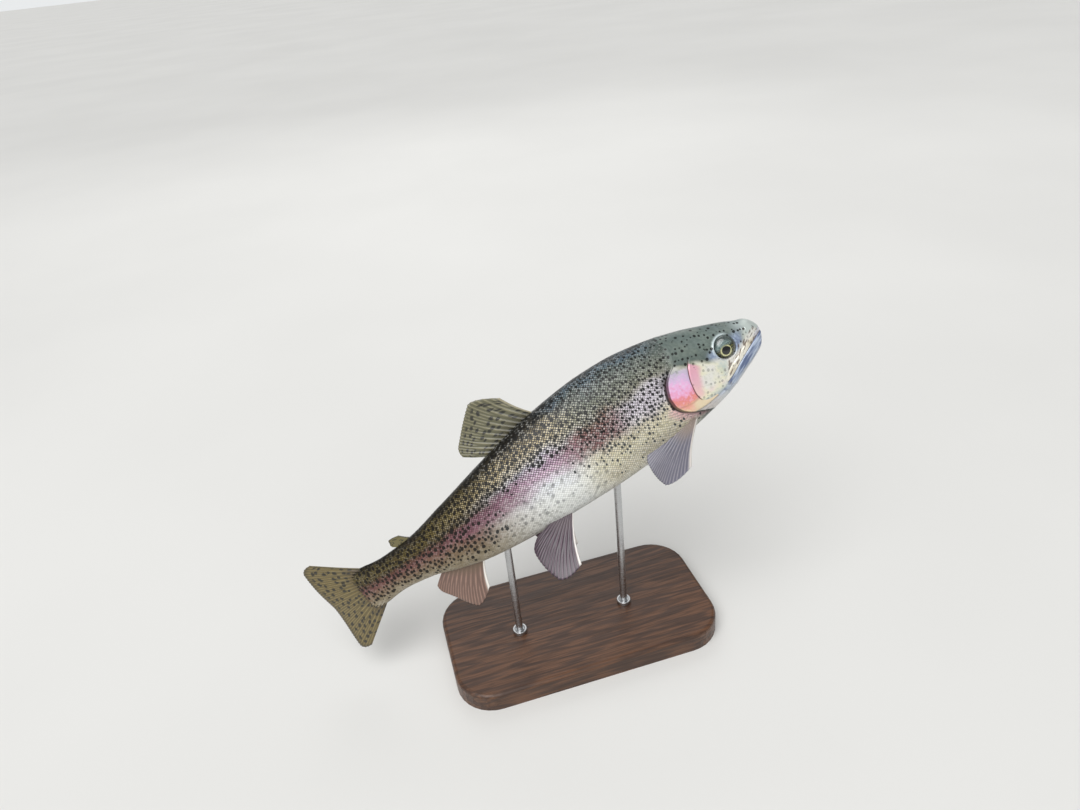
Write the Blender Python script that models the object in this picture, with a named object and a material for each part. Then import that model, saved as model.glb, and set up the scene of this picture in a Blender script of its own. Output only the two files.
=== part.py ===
"""A life-size rainbow trout, rising and turning to its left, on a plain display stand.

Run with: blender --background --python part.py

The fish is modelled straight, in its own frame: stations run from 0, just behind the tip of the
snout, to 1 at the end of the spine, in standard lengths; +Z is up the back, +Y its left side.
It is parted into named pieces by thin cuts, then the spine is curved, and an empty carries
the whole fish at its pitch and bank over the stand.
"""

import math

import bmesh
import bpy
import numpy as np
from mathutils import Vector

# --- Driving dimensions, in metres ---
STANDARD_LENGTH = 0.345  # snout to the end of the spine
GAP = 0.0003  # clearance between neighbouring pieces
PITCH = math.radians(27.0)  # nose up
BANK = math.radians(25.0)  # right flank turned up
MID_HEIGHT = 0.168  # middle of the body over the floor
MID_STATION = 0.5

# --- How the spine curves: turn in degrees over each stretch, in stations ---
SPINE_TURNS = (
    (0.22, 0.62, 9.0),  # trunk
    (0.62, 1.00, 13.0),  # tail stalk
    (1.00, 1.20, 8.0),  # tail fin
)

# --- Body outline: station, value in standard lengths over the lateral line ---
BACK = (
    (-0.0115, 0.0040),
    (0.005, 0.0108),  # snout
    (0.020, 0.0165),
    (0.050, 0.0330),
    (0.094, 0.0540),  # over the eye
    (0.133, 0.0715),
    (0.217, 0.100),  # nape
    (0.306, 0.1175),
    (0.380, 0.122),
    (0.500, 0.1155),  # front of the back fin
    (0.608, 0.098),
    (0.754, 0.068),
    (0.867, 0.047),  # thinnest part of the tail stalk
    (0.940, 0.044),
    (1.000, 0.050),
    (1.030, 0.052),
)
BELLY = (
    (-0.0115, -0.0460),
    (0.010, -0.0605),  # chin
    (0.028, -0.0690),
    (0.069, -0.0835),
    (0.104, -0.0950),
    (0.167, -0.1060),  # throat
    (0.220, -0.1125),
    (0.306, -0.1185),
    (0.380, -0.1180),
    (0.500, -0.1120),
    (0.620, -0.1030),
    (0.735, -0.0890),  # vent
    (0.800, -0.0730),
    (0.867, -0.0530),
    (0.940, -0.0450),
    (1.000, -0.0500),
    (1.030, -0.0520),
)
HALF_WIDTH = (
    (-0.0115, 0.0205),
    (0.016, 0.0285),
    (0.050, 0.0370),
    (0.077, 0.0430),
    (0.133, 0.0515),
    (0.217, 0.0590),
    (0.310, 0.0625),
    (0.420, 0.0620),
    (0.540, 0.0575),
    (0.675, 0.0455),
    (0.800, 0.0310),
    (0.867, 0.0240),
    (0.940, 0.0175),
    (1.000, 0.0105),
    (1.030, 0.0045),
)
WIDEST_AT = ((-0.0115, -0.030), (0.080, -0.028), (0.200, -0.012), (0.350, 0.0), (1.030, 0.0))
SQUARENESS = ((-0.0115, 2.3), (0.150, 2.35), (0.350, 2.15), (1.030, 2.0))
SNOUT_TIP = (-0.0115, -0.0245)  # station and height of the tip of the snout
SNOUT_ROUND = 0.024  # stations over which the tip rounds off
FLESH_END = 1.030
NOSE_SHIFT = 0.06  # stations over which a swollen or shrunken body also moves its snout
SLIMMEST = 0.0002  # least half width of a shrunken body

RINGS = 52
SIDES = 28

# --- Head parts, as (station, height) ---
MOUTH_FRONT = (-0.0155, -0.0275)
MOUTH_CORNER = (0.112, -0.0700)
JAW_END = 0.121
COVER_CENTRE = (0.198, -0.029)
COVER_REACH = (0.044, 0.052)  # half length and half height of the gill cover
COVER_LEAN = 0.16  # how much further back its foot lies than its top
COVER_FRONT_TOP = (0.162, 0.015)
COVER_FRONT_FOOT = (0.188, -0.072)
COVER_DEPTH = 0.0024
NAPE_STATION = 0.203
THROAT_BACK = 0.172
MAXILLA_WIDTH = 0.016
MAXILLA_DEPTH = 0.0013
EYE_STATION = 0.083
EYE_HEIGHT = -0.0071
EYE_RADIUS = 0.0084
EYE_BULGE = 0.0055  # half thickness of the eye
EYE_PROUD = 0.0015  # how far it stands out of the cheek

TRUNK_CUTS = (0.475, 0.745)  # trunk front to rear, trunk rear to tail stalk

# --- Stand ---
BASE_LENGTH = 0.215
BASE_WIDTH = 0.115
BASE_THICKNESS = 0.016
BASE_CORNER = 0.030
ROD_RADIUS = 0.0028
ROD_STATIONS = (0.365, 0.655)
ROD_SIDES = 20
BASE_CENTRE_X = 0.004

FLESH_COLOURS = {
    "head": (0.20, 0.22, 0.15),
    "pale": (0.72, 0.70, 0.62),
    "cover": (0.68, 0.36, 0.38),
    "flank": (0.42, 0.42, 0.33),
    "fin": (0.36, 0.32, 0.22),
    "low_fin": (0.45, 0.33, 0.33),
}


def smooth_value(stations, at):
    """Value at a station, along a curve that passes the named ones without overshoot."""
    x, y = np.array(stations).T
    step = np.diff(x)
    slope = np.diff(y) / step
    tangent = np.zeros(len(x))
    for i in range(1, len(x) - 1):
        before, after = slope[i - 1], slope[i]
        if before * after > 0:
            heavy, light = 2 * step[i] + step[i - 1], step[i] + 2 * step[i - 1]
            tangent[i] = (heavy + light) / (heavy / before + light / after)
    tangent[0], tangent[-1] = slope[0], slope[-1]
    at = float(np.clip(at, x[0], x[-1]))
    i = int(np.clip(np.searchsorted(x, at) - 1, 0, len(x) - 2))
    t = (at - x[i]) / step[i]
    return float(
        (1 + 2 * t) * (1 - t) ** 2 * y[i]
        + t * (1 - t) ** 2 * step[i] * tangent[i]
        + t * t * (3 - 2 * t) * y[i + 1]
        + t * t * (t - 1) * step[i] * tangent[i + 1]
    )


def power(value, exponent):
    """Signed power, which turns a circle into a squarer oval."""
    return math.copysign(abs(value) ** exponent, value)


def body_point(station, angle, grow=0.0):
    """Point on the straight body. The angle runs from the back, by the right side, to the belly."""
    tip, middle = SNOUT_TIP
    behind = (station - tip) / SNOUT_ROUND
    snout = 1.0 if behind > 1 else math.sqrt(max(0.0, 1 - (1 - behind) ** 2))
    top = middle + (smooth_value(BACK, station) - middle) * snout
    foot = middle + (smooth_value(BELLY, station) - middle) * snout
    widest = middle + (smooth_value(WIDEST_AT, station) - middle) * snout
    half = smooth_value(HALF_WIDTH, station) * snout
    bend = 2 / smooth_value(SQUARENESS, station)
    up, side = math.cos(angle), math.sin(angle)
    reach = (top - widest) if up > 0 else (widest - foot)
    length = STANDARD_LENGTH
    return Vector(
        (
            along(station) + grow * max(0.0, 1 - (station - tip) / NOSE_SHIFT),
            -power(side, bend) * max(SLIMMEST, half * length + grow),
            widest * length + power(up, bend) * max(SLIMMEST, reach * length + grow),
        )
    )


def along(station):
    """X of a station in the fish's own frame."""
    return (MID_STATION - station) * STANDARD_LENGTH


def at(station, height, side=0.0):
    """Point at a station and height, both in standard lengths, and a distance to the left."""
    return Vector((along(station), side, height * STANDARD_LENGTH))


def new_object(name, mesh):
    """Links an object that holds the mesh."""
    thing = bpy.data.objects.new(name, mesh)
    bpy.context.scene.collection.objects.link(thing)
    return thing


def mesh_from(name, points, faces):
    """Closed mesh with its faces turned outwards."""
    mesh = bpy.data.meshes.new(name)
    mesh.from_pydata([tuple(p) for p in points], [], faces)
    work = bmesh.new()
    work.from_mesh(mesh)
    bmesh.ops.recalc_face_normals(work, faces=work.faces)
    work.to_mesh(mesh)
    work.free()
    return mesh


def ring_stations(count):
    """Stations of the rings, close together at the snout and wider apart down the body."""
    head_share = 0.34
    tip, head_end = SNOUT_TIP[0], 0.24
    found = []
    for i in range(count):
        t = (i + 1) / count
        if t <= head_share:
            found.append(tip + (head_end - tip) * (t / head_share) ** 1.7)
        else:
            found.append(head_end + (FLESH_END - head_end) * (t - head_share) / (1 - head_share))
    return found


def body_loft(name, grow=0.0):
    """The whole straight body as one closed solid, swollen by grow."""
    points = [at(*SNOUT_TIP) + Vector((grow, 0, 0))]
    for station in ring_stations(RINGS):
        for side in range(SIDES):
            points.append(body_point(station, 2 * math.pi * side / SIDES, grow))
    faces = [(0, 1 + s, 1 + (s + 1) % SIDES) for s in range(SIDES)]
    for ring in range(RINGS - 1):
        first = 1 + ring * SIDES
        for s in range(SIDES):
            after = (s + 1) % SIDES
            faces.append((first + s, first + SIDES + s, first + SIDES + after, first + after))
    last = 1 + (RINGS - 1) * SIDES
    faces.append(tuple(last + s for s in range(SIDES)))
    return new_object(name, mesh_from(name, points, faces))


def spread(outline, distance):
    """The outline of (station, height) points moved outwards by a distance in metres."""
    corners = [Vector(p) for p in outline]
    area = sum(a.x * b.y - b.x * a.y for a, b in zip(corners, corners[1:] + corners[:1]))
    outward = math.copysign(distance / STANDARD_LENGTH, area)
    moved = []
    for before, here, after in zip(corners[-1:] + corners[:-1], corners, corners[1:] + corners[:1]):
        first = (here - before).normalized()
        second = (after - here).normalized()
        normals = Vector((first.y, -first.x)), Vector((second.y, -second.x))
        middle = (normals[0] + normals[1]).normalized()
        moved.append(tuple(here + middle * outward / max(0.4, middle.dot(normals[0]))))
    return moved


def prism(name, outline, grow=0.0, low=-0.06, high=0.06):
    """Cutter with the outline of (station, height) points, running from right to left."""
    outline = spread(outline, grow) if grow else outline
    count = len(outline)
    points = [at(s, h, low) for s, h in outline] + [at(s, h, high) for s, h in outline]
    faces = [tuple(range(count)), tuple(range(count, 2 * count))]
    for i in range(count):
        after = (i + 1) % count
        faces.append((i, after, count + after, count + i))
    return new_object(name, mesh_from(name, points, faces))


def carved(name, base, *steps):
    """A new solid: base cut, joined or kept by each (operation, cutter) in turn."""
    made = new_object(name, base.data.copy())
    made.matrix_world = base.matrix_world.copy()
    for operation, cutter in steps:
        modifier = made.modifiers.new(operation.title(), "BOOLEAN")
        modifier.operation = operation
        modifier.object = cutter
        modifier.solver = "EXACT"
    graph = bpy.context.evaluated_depsgraph_get()
    made.data = bpy.data.meshes.new_from_object(made.evaluated_get(graph))
    made.modifiers.clear()
    made.data.name = name
    return made


def cover_arc(start, end, count):
    """Points round the leaning oval of the gill cover, from one angle to another in degrees."""
    points = []
    for i in range(count):
        angle = math.radians(start + (end - start) * i / (count - 1))
        rise = COVER_REACH[1] * math.sin(angle)
        ahead = COVER_REACH[0] * math.cos(angle) - COVER_LEAN * rise
        points.append((COVER_CENTRE[0] + ahead, COVER_CENTRE[1] + rise))
    return points


def cover_outline():
    """Gill cover: a straight front edge, and a rear edge that bulges back."""
    return [COVER_FRONT_TOP, *cover_arc(94, -100, 15), COVER_FRONT_FOOT]


def head_outline():
    """All in front of the gill openings, from the nape to the breast."""
    rear = cover_arc(66, -86, 14)
    breast = (THROAT_BACK, -0.130)
    return [(-0.05, 0.2), (NAPE_STATION, 0.2), *rear, breast, (THROAT_BACK, -0.2), (-0.05, -0.2)]


def jaw_outline():
    """The lower jaw, under the line of the mouth."""
    hinge = (JAW_END, MOUTH_CORNER[1] - 0.008)
    return [MOUTH_FRONT, MOUTH_CORNER, hinge, (JAW_END + 0.010, -0.2), (-0.05, -0.2), (-0.05, MOUTH_FRONT[1])]


def throat_outline():
    """Between the lower jaw and the breast, under the gill covers."""
    front = JAW_END + 0.0045
    back = THROAT_BACK + 0.030
    return [(front, -0.0835), COVER_FRONT_FOOT, *cover_arc(-100, -92, 2), (back, -0.2), (front + 0.010, -0.2)]


def maxilla_outline():
    """Upper jaw bone: a narrow plate over the mouth, round at its rear end."""
    run = Vector(MOUTH_CORNER) - Vector(MOUTH_FRONT)
    way = run.normalized()
    over = Vector((-way.y, way.x))
    start = Vector(MOUTH_FRONT) + run * 0.17 + over * 0.0008
    end = Vector(MOUTH_CORNER) - way * 0.004 + over * 0.0008
    centre = end + over * MAXILLA_WIDTH / 2
    turns = [math.radians(-90 + 180 * i / 8) for i in range(9)]
    rounded = [centre + (way * math.cos(a) * 1.2 + over * math.sin(a)) * MAXILLA_WIDTH / 2 for a in turns]
    shoulder = start + run * 0.30 + over * MAXILLA_WIDTH * 0.88
    return [tuple(p) for p in (start, *rounded, shoulder, start + over * MAXILLA_WIDTH * 0.42)]


def eye_solid(name, side, grow=0.0):
    """Flattened ball set in the cheek; side is -1 on the right and 1 on the left."""
    work = bmesh.new()
    bmesh.ops.create_uvsphere(work, u_segments=20, v_segments=12, radius=1.0)
    cheek = abs(body_point(EYE_STATION, math.pi / 2).y)
    centre = at(EYE_STATION, EYE_HEIGHT, side * (cheek + EYE_PROUD - EYE_BULGE))
    sizes = (EYE_RADIUS + grow, EYE_RADIUS + grow, EYE_BULGE + grow)
    for vert in work.verts:
        x, z, out = (c * s for c, s in zip(vert.co, sizes))
        vert.co = centre + Vector((x, side * out, z))
    if side > 0:
        bmesh.ops.reverse_faces(work, faces=work.faces)
    mesh = bpy.data.meshes.new(name)
    work.to_mesh(mesh)
    work.free()
    return new_object(name, mesh)


def fin_solid(name, root, tip, normal, thick, rays, steps=5):
    """Thin closed blade. root and tip give the two ends of the ray at a share across the fin."""
    thick_root, thick_tip = thick
    points, count = [], steps + 1
    for face in (1, -1):
        for ray in range(rays):
            share = ray / (rays - 1)
            start, end = root(share), tip(share)
            for step in range(count):
                out = step / steps
                half = (thick_root + (thick_tip - thick_root) * out ** 0.8) / 2
                if ray in (0, rays - 1):
                    half = max(0.00028, half * 0.45)
                points.append(start.lerp(end, out) + normal(share, out) * half * face)
    faces = []
    other = rays * count
    for ray in range(rays - 1):
        for step in range(steps):
            a = ray * count + step
            b = a + count
            faces.append((a, a + 1, b + 1, b))
            faces.append((other + a, other + b, other + b + 1, other + a + 1))
    rim = [(0, s) for s in range(count)] + [(r, steps) for r in range(1, rays)]
    rim += [(rays - 1, s) for s in range(steps - 1, -1, -1)] + [(r, 0) for r in range(rays - 2, 0, -1)]
    for (r0, s0), (r1, s1) in zip(rim, rim[1:] + rim[:1]):
        a, b = r0 * count + s0, r1 * count + s1
        faces.append((a, b, other + b, other + a))
    return new_object(name, mesh_from(name, points, faces))


def sideways(share, out):
    """Normal of a fin that stands in the middle plane."""
    return Vector((0, 1, 0))


def median_fin(name, base, angles, length, thick, rays, up=1, bury=0.014):
    """Fin in the middle plane: base in stations, ray angles off the body's line in degrees."""

    def root(share):
        station = base[0] + (base[1] - base[0]) * share
        line = smooth_value(BACK if up > 0 else BELLY, station)
        return at(station, line - up * bury)

    def tip(share):
        angle = math.radians(angles[0] + (angles[1] - angles[0]) * share)
        reach = (length(share) + bury) * STANDARD_LENGTH
        return root(share) + Vector((-math.cos(angle), 0, up * math.sin(angle))) * reach

    return fin_solid(name, root, tip, sideways, thick, rays)


def rounded_fin(front, full, back, corner=0.16):
    """Ray length across a fin: a round rise to the full length, then a fall to the round back corner."""

    def length(share):
        rise = math.sin(min(share / corner, 1.0) * math.pi / 2)
        fall = max(0.0, (share - corner) / (1 - corner))
        turn = max(0.0, (share - 0.82) / 0.18)
        return front + (full - front) * rise + (back - full) * fall - 0.20 * back * turn**2

    return length


def dorsal_fin():
    """Back fin, half raised."""
    return median_fin(
        "dorsal_fin", (0.468, 0.595), (58, 34), rounded_fin(0.074, 0.118, 0.066, 0.22), (0.0026, 0.0007), 15
    )


def adipose_fin():
    """Small fleshy fin near the tail, rounded behind."""
    return median_fin(
        "adipose_fin", (0.838, 0.868), (38, 26), rounded_fin(0.030, 0.044, 0.026, 0.45), (0.0028, 0.0010), 9
    )


def anal_fin():
    """Fin behind the vent."""
    return median_fin(
        "anal_fin", (0.742, 0.832), (62, 34), rounded_fin(0.062, 0.100, 0.044, 0.22), (0.0024, 0.0007), 13, up=-1
    )


def caudal_fin():
    """Tail fin: rays fan out from the end of the spine, longest at the two lobes."""
    root_half, root_station = 0.045, 0.992
    fan, middle, lobe = math.radians(32), 0.124, 0.166

    def root(share):
        side = 1 - 2 * share
        return at(root_station + 0.010 * (1 - side * side), root_half * side)

    def tip(share):
        side = 1 - 2 * share
        angle = fan * power(side, 0.92)
        reach = middle + (lobe - middle) * abs(side) ** 1.5
        reach -= 0.034 * max(0.0, (abs(side) - 0.78) / 0.22) ** 2
        return root(share) + Vector((-math.cos(angle), 0, math.sin(angle))) * reach * STANDARD_LENGTH

    return fin_solid("caudal_fin", root, tip, sideways, (0.0026, 0.0007), 21, 7)


def paired_fin(name, side, place, back, out, spread_angle, length, thick, rays):
    """Fin of a pair. back and out are the directions of its first ray and of its opening."""
    origin = at(place[0], place[1], side * place[2] * STANDARD_LENGTH)
    back = Vector((back[0], side * back[1], back[2])).normalized()
    out = Vector((out[0], side * out[1], out[2]))
    out = (out - back * out.dot(back)).normalized()
    normal = back.cross(out).normalized()
    root_width = place[3] * STANDARD_LENGTH

    def root(share):
        return origin + out * root_width * (share - 0.5)

    def tip(share):
        angle = math.radians(spread_angle) * share
        way = back * math.cos(angle) + out * math.sin(angle)
        camber = normal * 0.06 * length(share) * STANDARD_LENGTH * math.sin(math.pi * share)
        return root(share) + way * length(share) * STANDARD_LENGTH + camber

    return fin_solid(name, root, tip, lambda share, reach: normal, thick, rays)


def pectoral_fin(name, side):
    """Fin low behind the gill cover, held out and back."""
    return paired_fin(
        name,
        side,
        (0.226, -0.086, 0.033, 0.032),
        (-0.64, 0.66, -0.40),
        (-0.80, -0.50, 0.30),
        44,
        rounded_fin(0.120, 0.160, 0.104, 0.32),
        (0.0030, 0.0007),
        13,
    )


def pelvic_fin(name, side):
    """Fin under the belly, spread down and back."""
    return paired_fin(
        name,
        side,
        (0.545, -0.096, 0.019, 0.030),
        (-0.42, 0.42, -0.86),
        (-0.85, 0.10, 0.20),
        52,
        rounded_fin(0.108, 0.138, 0.082, 0.32),
        (0.0026, 0.0007),
        12,
    )


def curve_spine(thing):
    """Moves every point of a straight piece to its place on the curved spine."""
    stations = np.linspace(-0.1, 1.3, 561)
    rate = np.zeros(len(stations))
    for start, end, turn in SPINE_TURNS:
        share = np.clip((stations - start) / (end - start), 0, 1)
        rate += math.radians(turn) / (end - start) * np.where((share > 0) & (share < 1), 1, 0)
    kernel = np.hanning(61)
    rate = np.convolve(rate, kernel / kernel.sum(), mode="same")
    step = stations[1] - stations[0]
    heading = -np.cumsum(rate) * step
    heading -= np.interp(MID_STATION, stations, heading)
    x = -np.cumsum(np.cos(heading)) * step * STANDARD_LENGTH
    y = -np.cumsum(np.sin(heading)) * step * STANDARD_LENGTH
    x -= np.interp(MID_STATION, stations, x)
    y -= np.interp(MID_STATION, stations, y)
    for vert in thing.data.vertices:
        station = MID_STATION - vert.co.x / STANDARD_LENGTH
        turn = np.interp(station, stations, heading)
        vert.co = Vector(
            (
                np.interp(station, stations, x) - math.sin(turn) * vert.co.y,
                np.interp(station, stations, y) + math.cos(turn) * vert.co.y,
                vert.co.z,
            )
        )


def fish_pieces():
    """All pieces of the straight fish, parted by thin cuts."""
    flesh = body_loft("flesh")
    grown = body_loft("flesh_grown", GAP)
    under_cover = body_loft("under_cover", -COVER_DEPTH)
    under_cover_grown = body_loft("under_cover_grown", GAP - COVER_DEPTH)
    under_lip = body_loft("under_lip", -MAXILLA_DEPTH)
    under_lip_grown = body_loft("under_lip_grown", GAP - MAXILLA_DEPTH)
    head_block = prism("head_block", head_outline())
    head_block_grown = prism("head_block_grown", head_outline(), GAP)
    jaw_block = prism("jaw_block", jaw_outline())
    jaw_block_grown = prism("jaw_block_grown", jaw_outline(), GAP)
    throat_block = prism("throat_block", throat_outline())
    throat_block_grown = prism("throat_block_grown", throat_outline(), GAP)
    cover_block = prism("cover_block", cover_outline(), -GAP / 3)
    cover_block_grown = prism("cover_block_grown", cover_outline(), GAP)
    lip_block = prism("lip_block", maxilla_outline())
    lip_block_grown = prism("lip_block_grown", maxilla_outline(), GAP)
    cuts = [at(s, 0).x for s in TRUNK_CUTS]
    slabs = []
    for i, (front, back) in enumerate(((0.5, cuts[0]), (cuts[0], cuts[1]), (cuts[1], -0.5))):
        outline = [(front - GAP / 2, -0.2), (front - GAP / 2, 0.2), (back + GAP / 2, 0.2), (back + GAP / 2, -0.2)]
        outline = [(MID_STATION - x / STANDARD_LENGTH, z) for x, z in outline]
        slabs.append(prism(f"slab_{i}", outline))
    eye_holes = [eye_solid(f"eye_hole_{side}", side, GAP) for side in (-1, 1)]
    cover_hole = carved("cover_hole", cover_block_grown, ("DIFFERENCE", under_cover))
    lip_hole = carved("lip_hole", lip_block_grown, ("DIFFERENCE", under_lip))
    helpers = [flesh, grown, under_cover, under_cover_grown, under_lip, under_lip_grown]
    helpers += [head_block, head_block_grown, jaw_block, jaw_block_grown, throat_block, throat_block_grown]
    helpers += [cover_block, cover_block_grown, lip_block, lip_block_grown, *slabs, *eye_holes]
    helpers += [cover_hole, lip_hole]
    front_flesh = carved("front_flesh", flesh, ("INTERSECT", head_block))
    helpers.append(front_flesh)
    pieces = {}
    pieces["head"] = carved(
        "head",
        front_flesh,
        ("DIFFERENCE", jaw_block_grown),
        ("DIFFERENCE", throat_block_grown),
        ("DIFFERENCE", cover_hole),
        ("DIFFERENCE", lip_hole),
        ("DIFFERENCE", eye_holes[0]),
        ("DIFFERENCE", eye_holes[1]),
    )
    pieces["lower_jaw"] = carved(
        "lower_jaw", front_flesh, ("INTERSECT", jaw_block), ("DIFFERENCE", lip_hole)
    )
    pieces["throat"] = carved(
        "throat", front_flesh, ("INTERSECT", throat_block), ("DIFFERENCE", cover_hole)
    )
    for name, side in (("right", -1), ("left", 1)):
        half = prism(f"half_{name}", [(-0.1, -0.3), (-0.1, 0.3), (0.4, 0.3), (0.4, -0.3)], 0.0, *sorted((0.0, side * 0.06)))
        cover = carved(
            f"gill_cover_{name}",
            cover_block,
            ("INTERSECT", flesh),
            ("DIFFERENCE", under_cover_grown),
            ("INTERSECT", half),
        )
        lip = carved(
            f"maxilla_{name}",
            lip_block,
            ("INTERSECT", flesh),
            ("DIFFERENCE", under_lip_grown),
            ("INTERSECT", half),
        )
        helpers.append(half)
        pieces[cover.name], pieces[lip.name] = cover, lip
        pieces[f"eye_{name}"] = eye_solid(f"eye_{name}", side)
        for fin in (pectoral_fin(f"pectoral_fin_{name}", side), pelvic_fin(f"pelvic_fin_{name}", side)):
            pieces[fin.name] = fin
    trunk = carved("trunk", flesh, ("DIFFERENCE", head_block_grown))
    helpers.append(trunk)
    for name, slab in zip(("trunk_front", "trunk_rear", "tail_stalk"), slabs):
        pieces[name] = carved(name, trunk, ("INTERSECT", slab))
    for fin in (dorsal_fin(), adipose_fin(), anal_fin(), caudal_fin()):
        pieces[fin.name] = fin
    for name in [n for n in pieces if n.endswith("_fin") or "_fin_" in n]:
        whole = pieces[name]
        whole.name = f"{name}_whole"
        pieces[name] = carved(name, whole, ("DIFFERENCE", grown))
        helpers.append(whole)
    return pieces, helpers, grown


def rod(name, station, flesh):
    """Upright rod from the base to the belly, its top cut to the belly's own shape."""
    centre = flesh.matrix_world @ at(station, -0.02)
    foot = BASE_THICKNESS + GAP
    work = bmesh.new()
    height = centre.z - foot
    bmesh.ops.create_cone(
        work, cap_ends=True, segments=ROD_SIDES, radius1=ROD_RADIUS, radius2=ROD_RADIUS, depth=height
    )
    bmesh.ops.translate(work, verts=work.verts, vec=(centre.x, centre.y, foot + height / 2))
    mesh = bpy.data.meshes.new(name)
    work.to_mesh(mesh)
    work.free()
    whole = new_object(f"{name}_whole", mesh)
    cut = carved(name, whole, ("DIFFERENCE", flesh))
    return cut, whole


def stand_base():
    """Flat board with round corners and a bevelled top edge."""
    corners = []
    for quarter in range(4):
        sx, sy = ((1, 1), (-1, 1), (-1, -1), (1, -1))[quarter]
        centre = (
            BASE_CENTRE_X + sx * (BASE_LENGTH / 2 - BASE_CORNER),
            sy * (BASE_WIDTH / 2 - BASE_CORNER),
        )
        for step in range(9):
            angle = math.pi / 2 * (quarter + step / 8)
            corners.append(
                (centre[0] + BASE_CORNER * math.cos(angle), centre[1] + BASE_CORNER * math.sin(angle), 0.0)
            )
    work = bmesh.new()
    face = work.faces.new([work.verts.new(c) for c in corners])
    grown = bmesh.ops.extrude_face_region(work, geom=[face])
    top = [v for v in grown["geom"] if isinstance(v, bmesh.types.BMVert)]
    bmesh.ops.translate(work, verts=top, vec=(0, 0, BASE_THICKNESS))
    bmesh.ops.recalc_face_normals(work, faces=work.faces)
    rim = [e for e in work.edges if all(v.co.z > BASE_THICKNESS / 2 for v in e.verts)]
    bmesh.ops.bevel(work, geom=rim, offset=0.003, segments=3, affect="EDGES", profile=0.5)
    mesh = bpy.data.meshes.new("stand_base")
    work.to_mesh(mesh)
    work.free()
    return new_object("stand_base", mesh)


def paint(thing, colour, rough, metal=0.0):
    """Gives a piece its own Principled material."""
    material = bpy.data.materials.new(f"{thing.name}_finish")
    material.use_nodes = True
    shader = material.node_tree.nodes["Principled BSDF"]
    shader.inputs["Base Color"].default_value = (*colour, 1.0)
    shader.inputs["Roughness"].default_value = rough
    shader.inputs["Metallic"].default_value = metal
    thing.data.materials.clear()
    thing.data.materials.append(material)


def finish_for(name):
    """Colour, roughness and metal of a fish piece."""
    if name.startswith("eye"):
        return (0.05, 0.05, 0.04), 0.1, 0.0
    if name.startswith("gill_cover"):
        return FLESH_COLOURS["cover"], 0.3, 0.2
    if name in ("lower_jaw", "throat") or name.startswith("maxilla"):
        return FLESH_COLOURS["pale"], 0.35, 0.1
    if name in ("dorsal_fin", "caudal_fin", "adipose_fin"):
        return FLESH_COLOURS["fin"], 0.4, 0.0
    if "fin" in name:
        return FLESH_COLOURS["low_fin"], 0.4, 0.0
    if name == "head":
        return FLESH_COLOURS["head"], 0.35, 0.1
    return FLESH_COLOURS["flank"], 0.3, 0.3


def shade(thing):
    """Smooth shading with the cut edges kept sharp."""
    thing.data.shade_smooth()
    thing.data.set_sharp_from_angle(angle=math.radians(35))


def middle_of(things):
    """Centre of the box round all the things, in X and Y, and its lowest Z."""
    corners = [t.matrix_world @ v.co for t in things for v in t.data.vertices]
    low = [min(c[i] for c in corners) for i in range(3)]
    high = [max(c[i] for c in corners) for i in range(3)]
    return (low[0] + high[0]) / 2, (low[1] + high[1]) / 2, low[2]


def main():
    for thing in list(bpy.data.objects):
        bpy.data.objects.remove(thing)
    whole_part = bpy.data.objects.new("trout_on_stand", None)
    pose = bpy.data.objects.new("trout_pose", None)
    for empty in (whole_part, pose):
        bpy.context.scene.collection.objects.link(empty)
    pose.parent = whole_part
    pose.rotation_euler = (-BANK, -PITCH, 0.0)
    pose.location = (0.0, 0.0, MID_HEIGHT)

    pieces, helpers, grown = fish_pieces()
    for piece in [*pieces.values(), grown]:
        curve_spine(piece)
        piece.parent = pose
    bpy.context.view_layer.update()

    stand = [stand_base()]
    for name, station in zip(("stand_rod_front", "stand_rod_rear"), ROD_STATIONS):
        cut, whole = rod(name, station, grown)
        stand.append(cut)
        helpers.append(whole)
    for piece in stand:
        piece.parent = whole_part

    for name, piece in pieces.items():
        paint(piece, *finish_for(name))
        shade(piece)
    paint(stand[0], (0.10, 0.055, 0.03), 0.45)
    shade(stand[0])
    for piece in stand[1:]:
        paint(piece, (0.62, 0.62, 0.63), 0.3, 1.0)
        shade(piece)

    for helper in helpers:
        bpy.data.objects.remove(helper)
    bpy.context.view_layer.update()
    x, y, z = middle_of([*pieces.values(), *stand])
    whole_part.location = (-x, -y, -z)


main()
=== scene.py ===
"""Looks of a life-size rainbow trout, rising and turning to its left, on a plain display stand.

The trout is shaped straight, in its own frame: stations run from 0 at the snout to 1 at the end of
the spine, in standard lengths, and heights are standard lengths over the lateral line. +Z is up
its back and +Y is its left side. Each finished mesh is bent along the curved spine and then
carried to its place over the stand.
"""

import logging
import math
from collections.abc import Callable, Sequence
from dataclasses import dataclass
from enum import Enum
from functools import reduce

import bpy
import numpy as np
from mathutils import Euler, Matrix, Vector


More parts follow.
